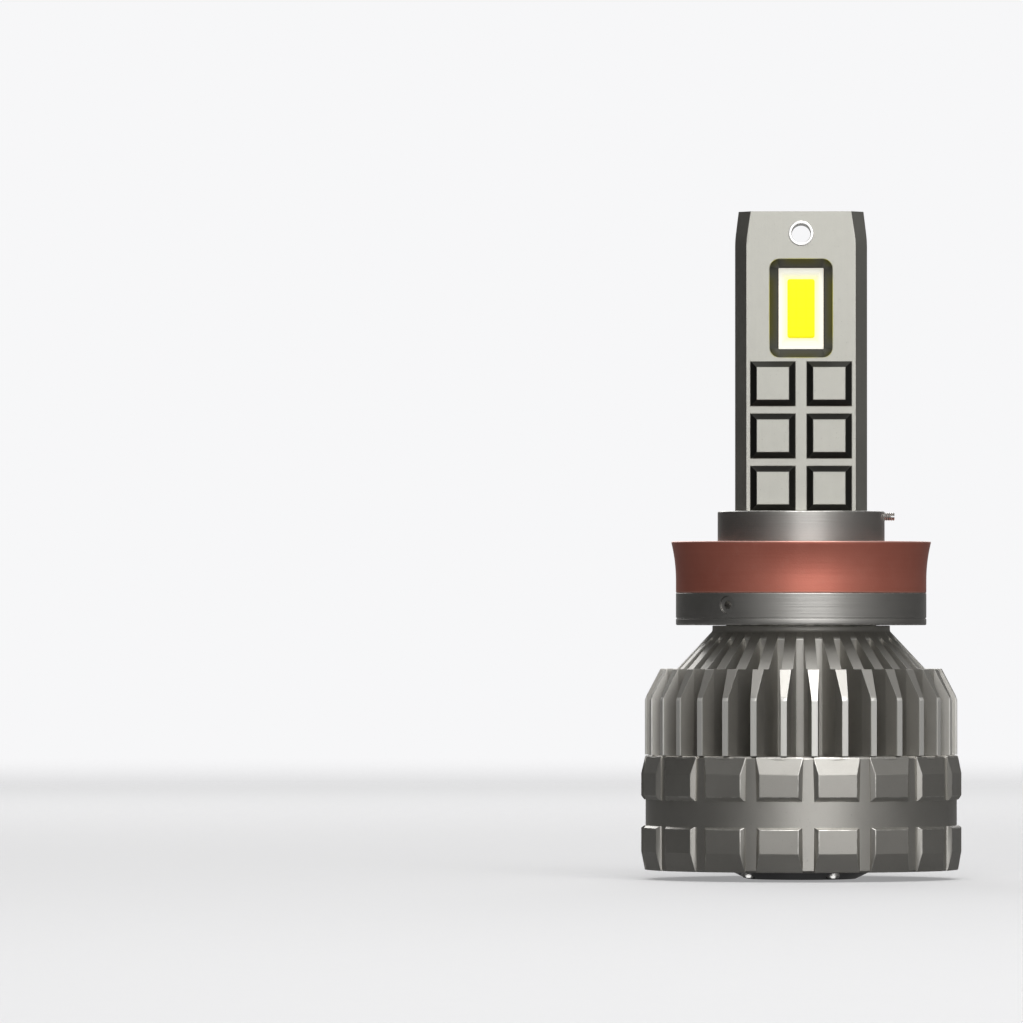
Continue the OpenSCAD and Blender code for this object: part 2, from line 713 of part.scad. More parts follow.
module stator_coils() color("orangered") {
  middle = (stator_low + stator_high) / 2;
  for (i = [0 : 3]) rotate([0, 0, i * 90]) difference() {
    block([coil_in, -coil_w / 2, middle - coil_h / 2], [coil_out, coil_w / 2, middle + coil_h / 2]);
    block([coil_in - 1, -arm_w / 2 - 0.02, stator_low - 0.02], [coil_out + 1, arm_w / 2 + 0.02, stator_high + 0.02]);
  }
}

module fan_board() color("darkgreen") ring(fan_board_r, tube_r + 0.05, fan_board_low, fan_board_low + fan_board_t);

// Straight wire between two points in the plane of a radius, with round ends
module wire_run(from, to_point) {
  step = to_point - from;
  translate([0, -from[0], from[1]]) rotate([step[0] == 0 ? 0 : step[0] > 0 ? 90 : -90, 0, 0])
    cylinder(h = norm(step), r = wire_r, $fn = 24);
}

wire_route = [
  [fan_board_r + 0.1, wire_run_z], [wire_rise_r, wire_run_z], [wire_rise_r, wire_entry_z],
  [wire_board_r, wire_entry_z], [wire_board_r, board_z - board_t]
];

module fan_leads() color("red") to(wire_azimuth)
  for (side = [-1, 1]) translate([side * (wire_r + 0.04), 0, 0]) {
    for (i = [0 : len(wire_route) - 2]) {
      lowest = wire_route[i][1] > wire_route[i + 1][1] ? wire_route[i + 1] : wire_route[i];
      other = lowest == wire_route[i] ? wire_route[i + 1] : wire_route[i];
      wire_run(lowest, other);
    }
    for (i = [1 : len(wire_route) - 2])
      translate([0, -wire_route[i][0], wire_route[i][1]]) sphere(r = wire_r, $fn = 24);
  }

front_plate();
rear_plate();
copper_board();
led_base_front();
led_base_rear();
phosphor_front();
phosphor_rear();
post_eyelet();
foot_pin();
collar();
seal_ring();
neck_screw();
lock_screw();
stem_o_ring();
heat_sink();
driver_board();
driver_coil();
driver_capacitors();
driver_chips();
input_terminal();
driver_cap();
led_leads();
fan_shroud();
cable_gland();
fan_frame();
hub_screws();
shroud_screws();
fan_rotor();
rotor_yoke();
rotor_magnet();
fan_shaft();
shaft_clip();
fan_bearing();
stator_core();
stator_coils();
fan_board();
fan_leads();
hub_label();
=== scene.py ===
import json
import math

import bmesh
import bpy
from mathutils import Matrix, Vector


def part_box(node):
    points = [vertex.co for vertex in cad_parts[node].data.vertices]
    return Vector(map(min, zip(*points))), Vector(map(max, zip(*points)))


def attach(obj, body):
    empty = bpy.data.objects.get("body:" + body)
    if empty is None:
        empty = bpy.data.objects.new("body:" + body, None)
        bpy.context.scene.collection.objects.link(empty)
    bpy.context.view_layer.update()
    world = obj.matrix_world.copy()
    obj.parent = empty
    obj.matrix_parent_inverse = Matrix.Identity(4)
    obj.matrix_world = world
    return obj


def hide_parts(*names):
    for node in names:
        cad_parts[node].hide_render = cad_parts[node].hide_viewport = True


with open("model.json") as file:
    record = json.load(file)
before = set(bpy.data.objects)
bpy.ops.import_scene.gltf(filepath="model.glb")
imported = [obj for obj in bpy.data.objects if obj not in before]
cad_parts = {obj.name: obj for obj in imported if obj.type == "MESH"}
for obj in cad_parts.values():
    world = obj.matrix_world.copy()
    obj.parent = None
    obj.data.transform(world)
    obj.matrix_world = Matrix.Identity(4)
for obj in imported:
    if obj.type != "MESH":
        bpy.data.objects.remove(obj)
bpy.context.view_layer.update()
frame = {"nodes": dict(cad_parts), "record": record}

# Pieces are modelled in millimetres, in the lamp's own frame, and scaled to metres at the end.
# Z is the lamp's axis. An azimuth is in degrees from the front (-Y), growing towards +X.
MM = 0.001
scene = bpy.context.scene


def box_mm(node):
    """Lowest and highest corner of a CAD node, in millimetres."""
    low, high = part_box(node)
    return low / MM, high / MM


mounts = {mount["name"]: mount for mount in frame["record"]["mounts"]}

# ---------------------------------------------------------------- sizes

# Lamp post
plate_low, plate_high = box_mm("front_plate")
eyelet_low, eyelet_high = box_mm("post_eyelet")
chip_low, chip_high = box_mm("led_base_front")
glow_low, glow_high = box_mm("phosphor_front")
post_half = plate_high.x
post_top = plate_high.z
inner_y = -plate_high.y
stud_h = 0.8
outer_y = -plate_low.y - stud_h
face_half = post_half - 1.3
side_wall_t = 0.6
flank_angle = math.atan2(outer_y - inner_y - side_wall_t, post_half - face_half)
post_base = 3.3
taper_h = 3.3
taper_z = post_top - taper_h
taper_lean = taper_h * math.tan(math.radians(7))
foot_half = 6.35
foot_t = 1.6
foot_chamfer = 0.2
pin_low, pin_high = box_mm("foot_pin")
pin_z = (pin_low.z + pin_high.z) / 2
pin_r = 0.8
eyelet_z = (eyelet_low.z + eyelet_high.z) / 2
eyelet_rim_r = eyelet_high.x
eyelet_hole_r = eyelet_rim_r - 0.15
eyelet_bore_r = eyelet_rim_r - 0.34
light_z = (chip_low.z + chip_high.z) / 2
window_corner = 1.2
window_root = 0.15
window_x = 2.43
window_z = 4.46
window_floor = 1.3
stud_base = 5.2
stud_top = 3.6
stud_x = 3.2
stud_low_z = 6.05
stud_pitch = 5.94

# Play between parts that are pushed into each other
fit_gap = 0.02

# Collar and seal
collar_low, collar_high = box_mm("collar")
seal_low, seal_high = box_mm("seal_ring")
neck_r = mounts["neck"]["dims"]["r_mm"]
neck_h = collar_high.z
band_r = collar_high.y
collar_bottom = collar_low.z
bore_r = neck_r - 0.9
seal_bore_r = 12.5
seal_bottom = seal_low.z
lip_r = seal_high.y
flare_depth = 4.4
metal_top = -0.3
lock_screw_z = -7.2
lock_screw_azimuth = -36
lock_hole_r = 1
neck_screw_z = 2.85
neck_hole_r = 0.5

# Heat sink
sink_bottom = box_mm("heat_sink")[0].z
fin_count = 32
fin_phase = -0.7
fin_r = 17.8
fin_t = 1.3
fin_rim_t = 0.68
core_r = 10.8
stem_r = bore_r - 0.05
shoulder_r = 10.1
shoulder_z = collar_bottom - 0.05
neck_end_z = -10.2
step_z = -14.45
step_in_r = 14.1
step_out_r = 16
base_ring_r = 16.2
base_ring_in = 14.3
base_ring_top = -24.3
fin_root_r = 9.9
rim_start_z = -18
rim_end_z = -24.2
bevel_end_z = -17.4
stem_tip_r = 7.45
stem_tip_z = 2.25
pocket_r = 9.3
pocket_top = -21
cavity_r = 8.6
cavity_top = -13.2
tail_half = 5
cable_passage_r = 1.45
cable_passage_z = -25.3
lead_passage_r = 0.75
lead_passage_z = -25.6

# Radius, top and bottom of the grooves round the stem
ring_groove = 7.7, -1.1, -2.1
lock_groove = 7.9, -6.1, -8.3

# Fan housing
shroud_low, shroud_high = box_mm("fan_shroud")
shroud_top = shroud_high.z
shroud_bottom = shroud_low.z
shroud_r = 17.7
block_face_r = 18.1
block_half = 2.65
block_draft = 0.95
block_count = 17
block_phase = 2.6
gland_index = (block_count - 1) // 2
gland_azimuth = block_phase + (gland_index + 0.5) * 360 / block_count
gland_z = mounts["cable_bore"]["pos_m"][2] / MM
gland_bore_r = mounts["cable_bore"]["dims"]["r_mm"]
gland_hole_r = 1.9
gland_inner = 16.3
gland_flange_r = 2.4
shelf_r = 16.25
chamber_r = 14.2
shelf_z = -27.45
lower_shelf_z = -35.65
block_root_r = 16.9
row_top = shroud_top - 0.05
upper_bevel_z = -26.3
upper_face_z = -28.85
upper_end_z = -29.3
lower_start_z = -32.25
lower_face_z = -32.5
lower_bevel_z = -35.2

# Fan
frame_low, frame_high = box_mm("fan_frame")
rotor_low, rotor_high = box_mm("fan_rotor")
boss_bottom = frame_low.z
tube_top = frame_high.z
frame_r = 16.2
frame_bottom = -37.2
rim_top = -35.7
spoke_top = -36.05
spoke_half = 0.8
hub_r = 8.35
hub_top = -36.3
hub_hole_r = 2.4
tube_r = 1.9
bearing_r = 1.45
bearing_bottom = -36.4
shaft_hole_r = 0.76
boss_r = 6.15
label_r = 4.65
spoke_azimuth = 145.55
hub_screw_azimuth = 31
hub_screw_ring = 7
hub_recess_r = 0.82
hub_recess_top = -37.55
shroud_screw_azimuth = 45
shroud_screw_ring = 15.2
rim_recess_r = 0.98
rim_recess_top = -36.5
cup_r = 7.4
cup_in = 6.7
blade_root_r = cup_r - 0.25
blade_r = 13.68
blade_low = -35.15
blade_high = -29.25
blade_count = 9

# ---------------------------------------------------------------- camera

camera_data = bpy.data.cameras.new("camera")
camera_data.lens = 400
camera_data.sensor_width = 36
camera_data.clip_end = 20
camera = bpy.data.objects.new("camera", camera_data)
scene.collection.objects.link(camera)
camera.location = (0, -1.294, -0.008)
aim = Vector((-0.03297, 0, 0.00344))
camera.rotation_mode = "QUATERNION"
camera.rotation_quaternion = (aim - camera.location).to_track_quat("-Z", "Y")
scene.camera = camera
scene.view_settings.view_transform = "Standard"


# ---------------------------------------------------------------- shader language

class Value:
    """A socket that carries a number, on which arithmetic adds Math nodes."""

    def __init__(self, nodes, socket):
        self.nodes = nodes
        self.socket = socket

    def join(self, operation, first, second):
        node = self.nodes.node("ShaderNodeMath", {"operation": operation}, {0: first, 1: second})
        return Value(self.nodes, node.outputs[0])

    def __add__(self, other):
        return self.join("ADD", self, other)

    def __radd__(self, other):
        return self.join("ADD", other, self)

    def __sub__(self, other):
        return self.join("SUBTRACT", self, other)

    def __rsub__(self, other):
        return self.join("SUBTRACT", other, self)

    def __mul__(self, other):
        return self.join("MULTIPLY", self, other)

    def __rmul__(self, other):
        return self.join("MULTIPLY", other, self)

    def __truediv__(self, other):
        return self.join("DIVIDE", self, other)

    def __pow__(self, other):
        return self.join("POWER", self, other)

    def at_least(self, other):
        return self.join("MAXIMUM", self, other)

    def at_most(self, other):
        return self.join("MINIMUM", self, other)

    def size(self):
        return self.join("ABSOLUTE", self, 0)

    def zigzag(self, height):
        """Rises to a height and falls back, over and over."""
        return self.join("PINGPONG", self, height)

    def steps(self, low, high):
        """0 below low, 1 above high, and a smooth rise between."""
        node = self.nodes.node(
            "ShaderNodeMapRange", {"interpolation_type": "SMOOTHSTEP"}, {0: self, 1: low, 2: high, 3: 0, 4: 1}
        )
        return Value(self.nodes, node.outputs[0])


class Nodes:
    """The node tree of a material or of the surroundings."""

    def __init__(self, owner):
        owner.use_nodes = True
        self.tree = owner.node_tree
        self.tree.nodes.clear()

    def node(self, kind, settings=None, inputs=None):
        """One node: its settings first, then the values or links of its sockets."""
        node = self.tree.nodes.new(kind)
        for key, value in (settings or {}).items():
            setattr(node, key, value)
        for key, value in (inputs or {}).items():
            self.feed(node.inputs[key], value)
        return node

    def feed(self, socket, value):
        if isinstance(value, Value):
            value = value.socket
        if isinstance(value, bpy.types.NodeSocket):
            self.tree.links.new(value, socket)
        else:
            socket.default_value = value

    def mix(self, factor, low, high):
        node = self.node("ShaderNodeMix", {"data_type": "RGBA"}, {0: factor, 6: low, 7: high})
        return node.outputs[2]


class Finish(Nodes):
    """A material built of nodes around one Principled shader."""

    def __init__(self, name, **fixed):
        self.material = bpy.data.materials.new(name)
        super().__init__(self.material)
        self.shader = self.node("ShaderNodeBsdfPrincipled")
        self.output = self.node("ShaderNodeOutputMaterial", None, {"Surface": self.shader.outputs[0]})
        self.put(**fixed)
        self.place = self.node("ShaderNodeTexCoord").outputs["Object"]

    def put(self, **inputs):
        """Feeds sockets of the shader, named in lower case with underscores."""
        for key, value in inputs.items():
            name = key.replace("_", " ").title().replace("Ior", "IOR")
            self.feed(self.shader.inputs[name], value)

    def stretched(self, scale):
        """The piece's own coordinates, multiplied along each axis."""
        node = self.node("ShaderNodeVectorMath", {"operation": "MULTIPLY"}, {0: self.place, 1: scale})
        return node.outputs[0]

    def noise(self, scale, detail=3, roughness=0.55, stretch=(1, 1, 1)):
        """Noise from 0 to 1 whose grain is about 1 / scale metres."""
        where = self.stretched(stretch)
        inputs = {"Vector": where, "Scale": scale, "Detail": detail, "Roughness": roughness}
        return Value(self, self.node("ShaderNodeTexNoise", None, inputs).outputs[0])

    def axis(self, name):
        """One coordinate of the piece, in metres."""
        parts = self.node("ShaderNodeSeparateXYZ", None, {0: self.place})
        return Value(self, parts.outputs[name])

    def radius(self):
        """Distance from the lamp's axis, in metres."""
        flat = self.stretched((1, 1, 0))
        node = self.node("ShaderNodeVectorMath", {"operation": "LENGTH"}, {0: flat})
        return Value(self, node.outputs["Value"])

    def worn_and_lit_edges(self):
        """1 on the rounded edges of a piece and 0 elsewhere; finishes paint these edges paler, partly as wear
        and partly as a painted highlight.
        """
        node = self.node("ShaderNodeAttribute", {"attribute_name": "edge_wear_and_highlight"})
        return Value(self, node.outputs["Fac"])

    def bump(self, height, depth_mm, strength=1.0, under=None):
        inputs = {"Height": height, "Distance": depth_mm * MM, "Strength": strength}
        if under is not None:
            inputs["Normal"] = under
        return self.node("ShaderNodeBump", None, inputs).outputs[0]


def rgb(red, green, blue):
    return (red, green, blue, 1)


def toned(colour, gain, lift=0.0):
    """A colour made darker or lighter, and raised towards white."""
    return rgb(*(min(1.0, lift + gain * part) for part in colour))


# ---------------------------------------------------------------- finishes

def blasted_metal(name, colour, roughness=0.4, turned_lines=0.0, drawn_lines=0.0, wear_and_sheen=0.5, metallic=1.0,
                  painted_shade=None, painted_rim_highlight=None):
    """Anodised aluminium with a blasted grain, tool lines round or along the axis, and edges painted paler,
    partly as rubbing and partly as a painted highlight.
    The mask for painted shade darkens the colour where it gives 1, and the mask for a painted highlight turns
    it near white and less metallic where it gives 1."""
    finish = Finish(name, metallic=metallic)
    cloud = finish.noise(160, detail=4)
    blotch = finish.noise(700, detail=3)
    grain = finish.noise(9000, detail=2)
    speck = finish.noise(3600, detail=2, roughness=0.7).steps(0.66, 0.74)
    rings = finish.noise(5200, detail=2, stretch=(0.02, 0.02, 1))
    strokes = finish.noise(4200, detail=2, stretch=(1, 1, 0.025))
    # Rounded edges painted paler in patches: partly rubbing, partly a painted highlight.
    rubbed = finish.worn_and_lit_edges() * finish.noise(1100, detail=3).steps(0.36, 0.62) * wear_and_sheen
    lines = rings * turned_lines + strokes * drawn_lines
    level = 0.05 - 0.17 * (turned_lines + drawn_lines)
    tone = cloud * 0.45 + blotch * 0.2 + grain * 0.25 + lines * 0.35 + level
    shade = finish.mix(tone.at_least(0).at_most(1), toned(colour, 0.80), toned(colour, 1.12))
    shade = finish.mix(speck * 0.22, shade, toned(colour, 0.45))
    # Painted shade: the colour is darkened almost to black where the mask gives 1.
    if painted_shade:
        shade = finish.mix(painted_shade(finish) * 0.95, shade, toned(colour, 0.05))
    shade = finish.mix(rubbed, shade, toned(colour, 1.15, 0.30))
    # Painted highlight: the colour turns near white and less metallic where the mask gives 1.
    if painted_rim_highlight:
        cut = painted_rim_highlight(finish)
        shade = finish.mix(cut * 0.85, shade, rgb(0.90, 0.89, 0.85))
        finish.put(metallic=metallic - cut * 0.25)
    rough = cloud * 0.10 + grain * 0.08 + lines * 0.08 + speck * 0.1 + (roughness - 0.1)
    grit = finish.bump(grain, 0.012, 0.45)
    tooled = finish.bump(rings, 0.016 * turned_lines, 1.0, grit) if turned_lines else grit
    tooled = finish.bump(strokes, 0.012 * drawn_lines, 1.0, tooled) if drawn_lines else tooled
    finish.put(base_color=shade, roughness=(rough - rubbed * 0.12).at_least(0.12), normal=tooled)
    return finish.material


def plated_steel(name, colour, roughness=0.24, lines=0.4):
    """Plated or machined steel with fine scratches and dull patches."""
    finish = Finish(name, metallic=1.0)
    patch = finish.noise(900, detail=4)
    scratch = finish.noise(6500, detail=2, stretch=(1, 1, 0.06)).steps(0.5, 0.9)
    dull = patch.steps(0.35, 0.8)
    shade = finish.mix(dull * 0.4 + scratch * 0.15, rgb(*colour), toned(colour, 0.62))
    # Rounded edges painted paler: partly wear, partly a painted highlight.
    shade = finish.mix(finish.worn_and_lit_edges() * 0.5, shade, toned(colour, 1.2, 0.15))
    finish.put(base_color=shade, roughness=dull * 0.16 + scratch * 0.1 + roughness,
               normal=finish.bump(scratch, 0.01, lines))
    return finish.material


def black_oxide(name):
    """Blackened steel with brown-grey rubbing."""
    finish = Finish(name, metallic=0.85)
    patch = finish.noise(1500, detail=4).steps(0.45, 0.75)
    grain = finish.noise(9000)
    shade = finish.mix(patch * 0.6, rgb(0.035, 0.034, 0.035), rgb(0.13, 0.12, 0.11))
    finish.put(base_color=shade, roughness=patch * 0.15 + grain * 0.1 + 0.32,
               normal=finish.bump(grain, 0.01, 0.6))
    return finish.material


def moulded(name, colour, roughness=0.5, texture_mm=0.02, texture_scale=5200, coat=0.0, specular=0.5):
    """Moulded plastic or rubber with a fine spark-eroded texture, dust, and edges painted paler, partly as
    handling wear and partly as a painted highlight.
    """
    finish = Finish(name, metallic=0.0, coat_weight=coat, specular_ior_level=specular)
    cloud = finish.noise(240, detail=4)
    grain = finish.noise(texture_scale, detail=3, roughness=0.6)
    dust = finish.noise(2600, detail=4, roughness=0.7).steps(0.6, 0.78)
    shade = finish.mix(cloud, toned(colour, 0.78), toned(colour, 1.2))
    shade = finish.mix(dust * 0.08, shade, rgb(0.55, 0.53, 0.5))
    # Rounded edges painted paler: partly handling wear, partly a painted highlight.
    shade = finish.mix(finish.worn_and_lit_edges() * cloud * 0.35, shade, toned(colour, 1.5, 0.06))
    finish.put(base_color=shade, roughness=cloud * 0.12 + dust * 0.15 + grain * 0.08 + (roughness - 0.1),
               normal=finish.bump(grain, texture_mm, 0.55))
    return finish.material


def seal_silicone():
    """Red-brown silicone with faint moulding rings, a powdery bloom and small nicks."""
    finish = Finish("seal_silicone", metallic=0.7, specular_ior_level=0.6)
    cloud = finish.noise(180, detail=4)
    grain = finish.noise(5200, detail=3, roughness=0.6)
    rings = finish.noise(2600, detail=2, stretch=(0.03, 0.03, 1))
    bloom = finish.noise(900, detail=5, roughness=0.7).steps(0.52, 0.8)
    nick = finish.noise(1900, detail=2).steps(0.74, 0.8)
    shade = finish.mix(cloud * 0.7 + rings * 0.3, rgb(0.60, 0.165, 0.115), rgb(0.74, 0.27, 0.20))
    shade = finish.mix(bloom * 0.14, shade, rgb(0.66, 0.40, 0.33))
    shade = finish.mix(nick * 0.3, shade, rgb(0.12, 0.02, 0.015))
    # Rounded edges painted paler: partly wear, partly a painted highlight.
    shade = finish.mix(finish.worn_and_lit_edges() * (cloud * 0.4 + 0.5), shade, rgb(0.86, 0.52, 0.44))
    surface = finish.bump(rings, 0.012, 0.6, finish.bump(grain, 0.02, 0.5))
    finish.put(base_color=shade, roughness=bloom * 0.16 + grain * 0.1 + cloud * 0.06 + 0.30, normal=surface)
    return finish.material


def chip_ceramic():
    """Ceramic carrier of a light source: off-white, warmed by its own light round the phosphor."""
    finish = Finish("led_ceramic", metallic=0.0, emission_strength=0.42)
    across = finish.axis("X").size() - glow_high.x * MM
    along = (finish.axis("Z") - light_z * MM).size() - (glow_high.z - light_z) * MM
    outside = across.at_least(along)
    warmth = 1 - outside.steps(-0.0001, 0.0009)
    grain = finish.noise(7000, detail=3)
    stain = finish.noise(1200, detail=4).steps(0.5, 0.8)
    shade = finish.mix(warmth * 0.85 + grain * 0.06, rgb(0.95, 0.94, 0.84), rgb(0.97, 0.94, 0.46))
    shade = finish.mix(stain * 0.12, shade, rgb(0.78, 0.72, 0.52))
    finish.put(base_color=shade, emission_color=shade, roughness=grain * 0.2 + stain * 0.1 + 0.38,
               normal=finish.bump(grain, 0.01, 0.5))
    return finish.material


def phosphor():
    """Yellow phosphor silicone over the dies, which show as a faint grid of paler squares."""
    finish = Finish("phosphor", metallic=0.0, emission_strength=0.42, specular_ior_level=0.15,
                    coat_weight=0.06, coat_roughness=0.2)
    die = 0.00111
    across = (finish.axis("X") / die + 0.5).zigzag(0.5) * 2
    along = ((finish.axis("Z") - light_z * MM) / die).zigzag(0.5) * 2
    die_mask = across.steps(0.1, 0.3) * along.steps(0.1, 0.3)
    grain = finish.noise(5200, detail=4, roughness=0.7)
    cloud = finish.noise(700, detail=3)
    shade = finish.mix(die_mask * 0.5 + grain * 0.3, rgb(0.96, 0.84, 0.006), rgb(0.99, 0.97, 0.012))
    shade = finish.mix(cloud.steps(0.5, 0.8) * 0.3, shade, rgb(0.97, 0.78, 0.004))
    finish.put(base_color=shade, emission_color=shade, roughness=grain * 0.2 + 0.28,
               normal=finish.bump(grain, 0.015, 0.5))
    return finish.material


def copper_core():
    """Copper circuit board: brushed edges with tarnish."""
    finish = Finish("copper", metallic=1.0)
    stroke = finish.noise(5200, detail=2, stretch=(1, 1, 0.04))
    tarnish = finish.noise(700, detail=5, roughness=0.65).steps(0.45, 0.75)
    shade = finish.mix(stroke * 0.5, rgb(0.80, 0.42, 0.25), rgb(0.93, 0.58, 0.40))
    shade = finish.mix(tarnish * 0.55, shade, rgb(0.36, 0.17, 0.09))
    finish.put(base_color=shade, roughness=stroke * 0.12 + tarnish * 0.18 + 0.26,
               normal=finish.bump(stroke, 0.012, 0.6))
    return finish.material


def circuit_board():
    """Green solder mask over tracks, which stand up as faint raised lines."""
    finish = Finish("circuit_board", metallic=0.0, coat_weight=0.25, coat_roughness=0.15)
    cells = finish.node("ShaderNodeTexVoronoi", {"feature": "DISTANCE_TO_EDGE"},
                        {"Vector": finish.place, "Scale": 620})
    track = 1 - Value(finish, cells.outputs[0]).steps(0.05, 0.1)
    grain = finish.noise(5200)
    shade = finish.mix(track * 0.8, rgb(0.012, 0.085, 0.035), rgb(0.03, 0.17, 0.075))
    shade = finish.mix(grain * 0.2, shade, rgb(0.02, 0.06, 0.03))
    finish.put(base_color=shade, roughness=grain * 0.15 + 0.26, normal=finish.bump(track, 0.03, 0.7))
    return finish.material


def wound_copper():
    """Enamelled wire laid in turns, seen as fine parallel ridges."""
    finish = Finish("copper_winding", metallic=0.9, coat_weight=0.4, coat_roughness=0.1)
    wave = finish.node("ShaderNodeTexWave", {"bands_direction": "Z"},
                       {"Vector": finish.place, "Scale": 1500, "Distortion": 0.4, "Detail": 1})
    turns = Value(finish, wave.outputs["Fac"])
    patch = finish.noise(1300, detail=4)
    shade = finish.mix(turns * 0.7 + patch * 0.3, rgb(0.20, 0.06, 0.025), rgb(0.72, 0.30, 0.13))
    finish.put(base_color=shade, roughness=patch * 0.2 + 0.22, normal=finish.bump(turns, 0.08, 0.8))
    return finish.material


def label_film():
    """Blank satin film with a slight orange peel and rubbed patches."""
    finish = Finish("label_film", metallic=0.55)
    peel = finish.noise(1500, detail=2)
    rub = finish.noise(420, detail=5, roughness=0.7).steps(0.5, 0.8)
    ring = 1 - ((finish.radius() - 0.0041).size()).steps(0.00006, 0.00014)
    shade = finish.mix(rub * 0.5, rgb(0.52, 0.53, 0.54), rgb(0.36, 0.37, 0.38))
    shade = finish.mix(ring * 0.6, shade, rgb(0.22, 0.22, 0.23))
    finish.put(base_color=shade, roughness=rub * 0.25 + 0.28, normal=finish.bump(peel, 0.02, 0.35))
    return finish.material


def recess_and_slope_shade(finish):
    """1 in the windows and on the slopes of the studs, where the colour is darkened as painted shade."""
    depth = finish.axis("Y").size() / MM
    stud_face = outer_y + stud_h
    below_face = 1 - depth.steps(stud_face - 0.08, stud_face - 0.04)
    slopes = depth.steps(outer_y + 0.05, outer_y + 0.09) * below_face
    near_x = 1 - (finish.axis("X").size() / MM).steps(face_half - 2.0, face_half - 1.9)
    near_z = 1 - (finish.axis("Z") / MM - light_z).size().steps(window_z + 1.4, window_z + 1.5)
    sunk = 1 - depth.steps(outer_y - 0.14, outer_y - 0.08)
    return slopes.at_least(near_x * near_z * sunk)


def fin_rim_highlight(finish):
    """1 on the rims of the fins, whose colour is turned near white as a painted highlight."""
    return (finish.radius() / MM).steps(fin_r - 0.16, fin_r - 0.1)


finishes = {
    "post_metal": blasted_metal("post_metal", (0.55, 0.545, 0.50), 0.40, drawn_lines=0.35, wear_and_sheen=0.55,
                                painted_shade=recess_and_slope_shade),
    "collar_metal": blasted_metal("collar_metal", (0.50, 0.49, 0.47), 0.34, turned_lines=0.8, wear_and_sheen=0.5),
    "sink_metal": blasted_metal("sink_metal", (0.56, 0.545, 0.51), 0.38, turned_lines=0.15, wear_and_sheen=0.55),
    "fin_metal": blasted_metal("fin_metal", (0.56, 0.545, 0.51), 0.40, wear_and_sheen=0.6, metallic=0.84,
                               painted_rim_highlight=fin_rim_highlight),
    "bright_steel": plated_steel("bright_steel", (0.80, 0.79, 0.77), 0.20),
    "screw_steel": plated_steel("screw_steel", (0.50, 0.49, 0.47), 0.34),
    "yoke_steel": plated_steel("yoke_steel", (0.42, 0.42, 0.43), 0.36),
    "capacitor_can": plated_steel("capacitor_can", (0.42, 0.50, 0.62), 0.22),
    "bronze": plated_steel("bronze", (0.62, 0.42, 0.18), 0.38),
    "black_steel": black_oxide("black_steel"),
    "seal_silicone": seal_silicone(),
    "led_ceramic": chip_ceramic(),
    "phosphor": phosphor(),
    "copper": copper_core(),
    "circuit_board": circuit_board(),
    "copper_winding": wound_copper(),
    "label_film": label_film(),
    "black_rubber": moulded("black_rubber", (0.022, 0.021, 0.021), 0.62, 0.03, 3600),
    "black_plastic": moulded("black_plastic", (0.020, 0.020, 0.021), 0.40, 0.02, 4600),
    "rotor_plastic": moulded("rotor_plastic", (0.026, 0.026, 0.028), 0.34, 0.012, 5200, coat=0.1),
    "chip_plastic": moulded("chip_plastic", (0.03, 0.03, 0.033), 0.55, 0.02, 5200),
    "terminal_plastic": moulded("terminal_plastic", (0.03, 0.26, 0.08), 0.42),
    "lead_insulation": moulded("lead_insulation", (0.52, 0.03, 0.022), 0.38, 0.008, 3000, coat=0.2),
    "ferrite": moulded("ferrite", (0.05, 0.05, 0.054), 0.5, 0.03, 4200),
}


# ---------------------------------------------------------------- modelling

def outline(points, segments=3):
    """A flat face in the XZ plane. A point is (x, z), or (x, z, softness) where its corner is rounded."""
    bm = bmesh.new()
    corners = [bm.verts.new((point[0], 0, point[1])) for point in points]
    bm.faces.new(corners)
    soft = {}
    for corner, point in zip(corners, points):
        if len(point) > 2:
            soft.setdefault(point[2], []).append(corner)
    for width, group in soft.items():
        bmesh.ops.bevel(bm, geom=group, offset=width, offset_type="OFFSET", segments=segments,
                        profile=0.5, affect="VERTICES", material=-1, clamp_overlap=True)
    return bm


def tidy(bm, gap=1e-4):
    """Merges doubled points and turns every face outwards."""
    bmesh.ops.remove_doubles(bm, verts=bm.verts, dist=gap)
    bmesh.ops.recalc_face_normals(bm, faces=bm.faces)
    return bm


def spun(bm, degrees, axis="Z"):
    """Turns what is drawn about an axis through the origin."""
    turn = Matrix.Rotation(math.radians(degrees), 3, axis)
    bmesh.ops.rotate(bm, verts=bm.verts, cent=(0, 0, 0), matrix=turn)
    return bm


def moved(bm, x=0, y=0, z=0):
    bmesh.ops.translate(bm, verts=bm.verts, vec=(x, y, z))
    return bm


def split(bm, x):
    """Cuts every face along a plane of one x, so that the points beyond it can be moved."""
    bmesh.ops.bisect_plane(bm, geom=bm.verts[:] + bm.edges[:] + bm.faces[:], plane_co=(x, 0, 0),
                           plane_no=(1, 0, 0), dist=1e-5)


def turned(points, steps=160, segments=3):
    """A solid of revolution about Z from a closed outline of (radius, height) points."""
    bm = outline(points, segments)
    bmesh.ops.delete(bm, geom=bm.faces[:], context="FACES_ONLY")
    on_axis = [edge for edge in bm.edges if all(abs(vert.co.x) < 1e-6 for vert in edge.verts)]
    bmesh.ops.delete(bm, geom=on_axis, context="EDGES")
    bmesh.ops.spin(bm, geom=bm.verts[:] + bm.edges[:], cent=(0, 0, 0), axis=(0, 0, 1),
                   angle=2 * math.pi, steps=steps, use_merge=True)
    return tidy(bm)


def extruded(points, thickness, segments=3):
    """A plate of an XZ outline, centred on y = 0."""
    bm = outline(points, segments)
    grown = bmesh.ops.extrude_face_region(bm, geom=bm.faces[:])["geom"]
    bmesh.ops.translate(bm, verts=[part for part in grown if isinstance(part, bmesh.types.BMVert)],
                        vec=(0, thickness, 0))
    return tidy(moved(bm, y=-thickness / 2))


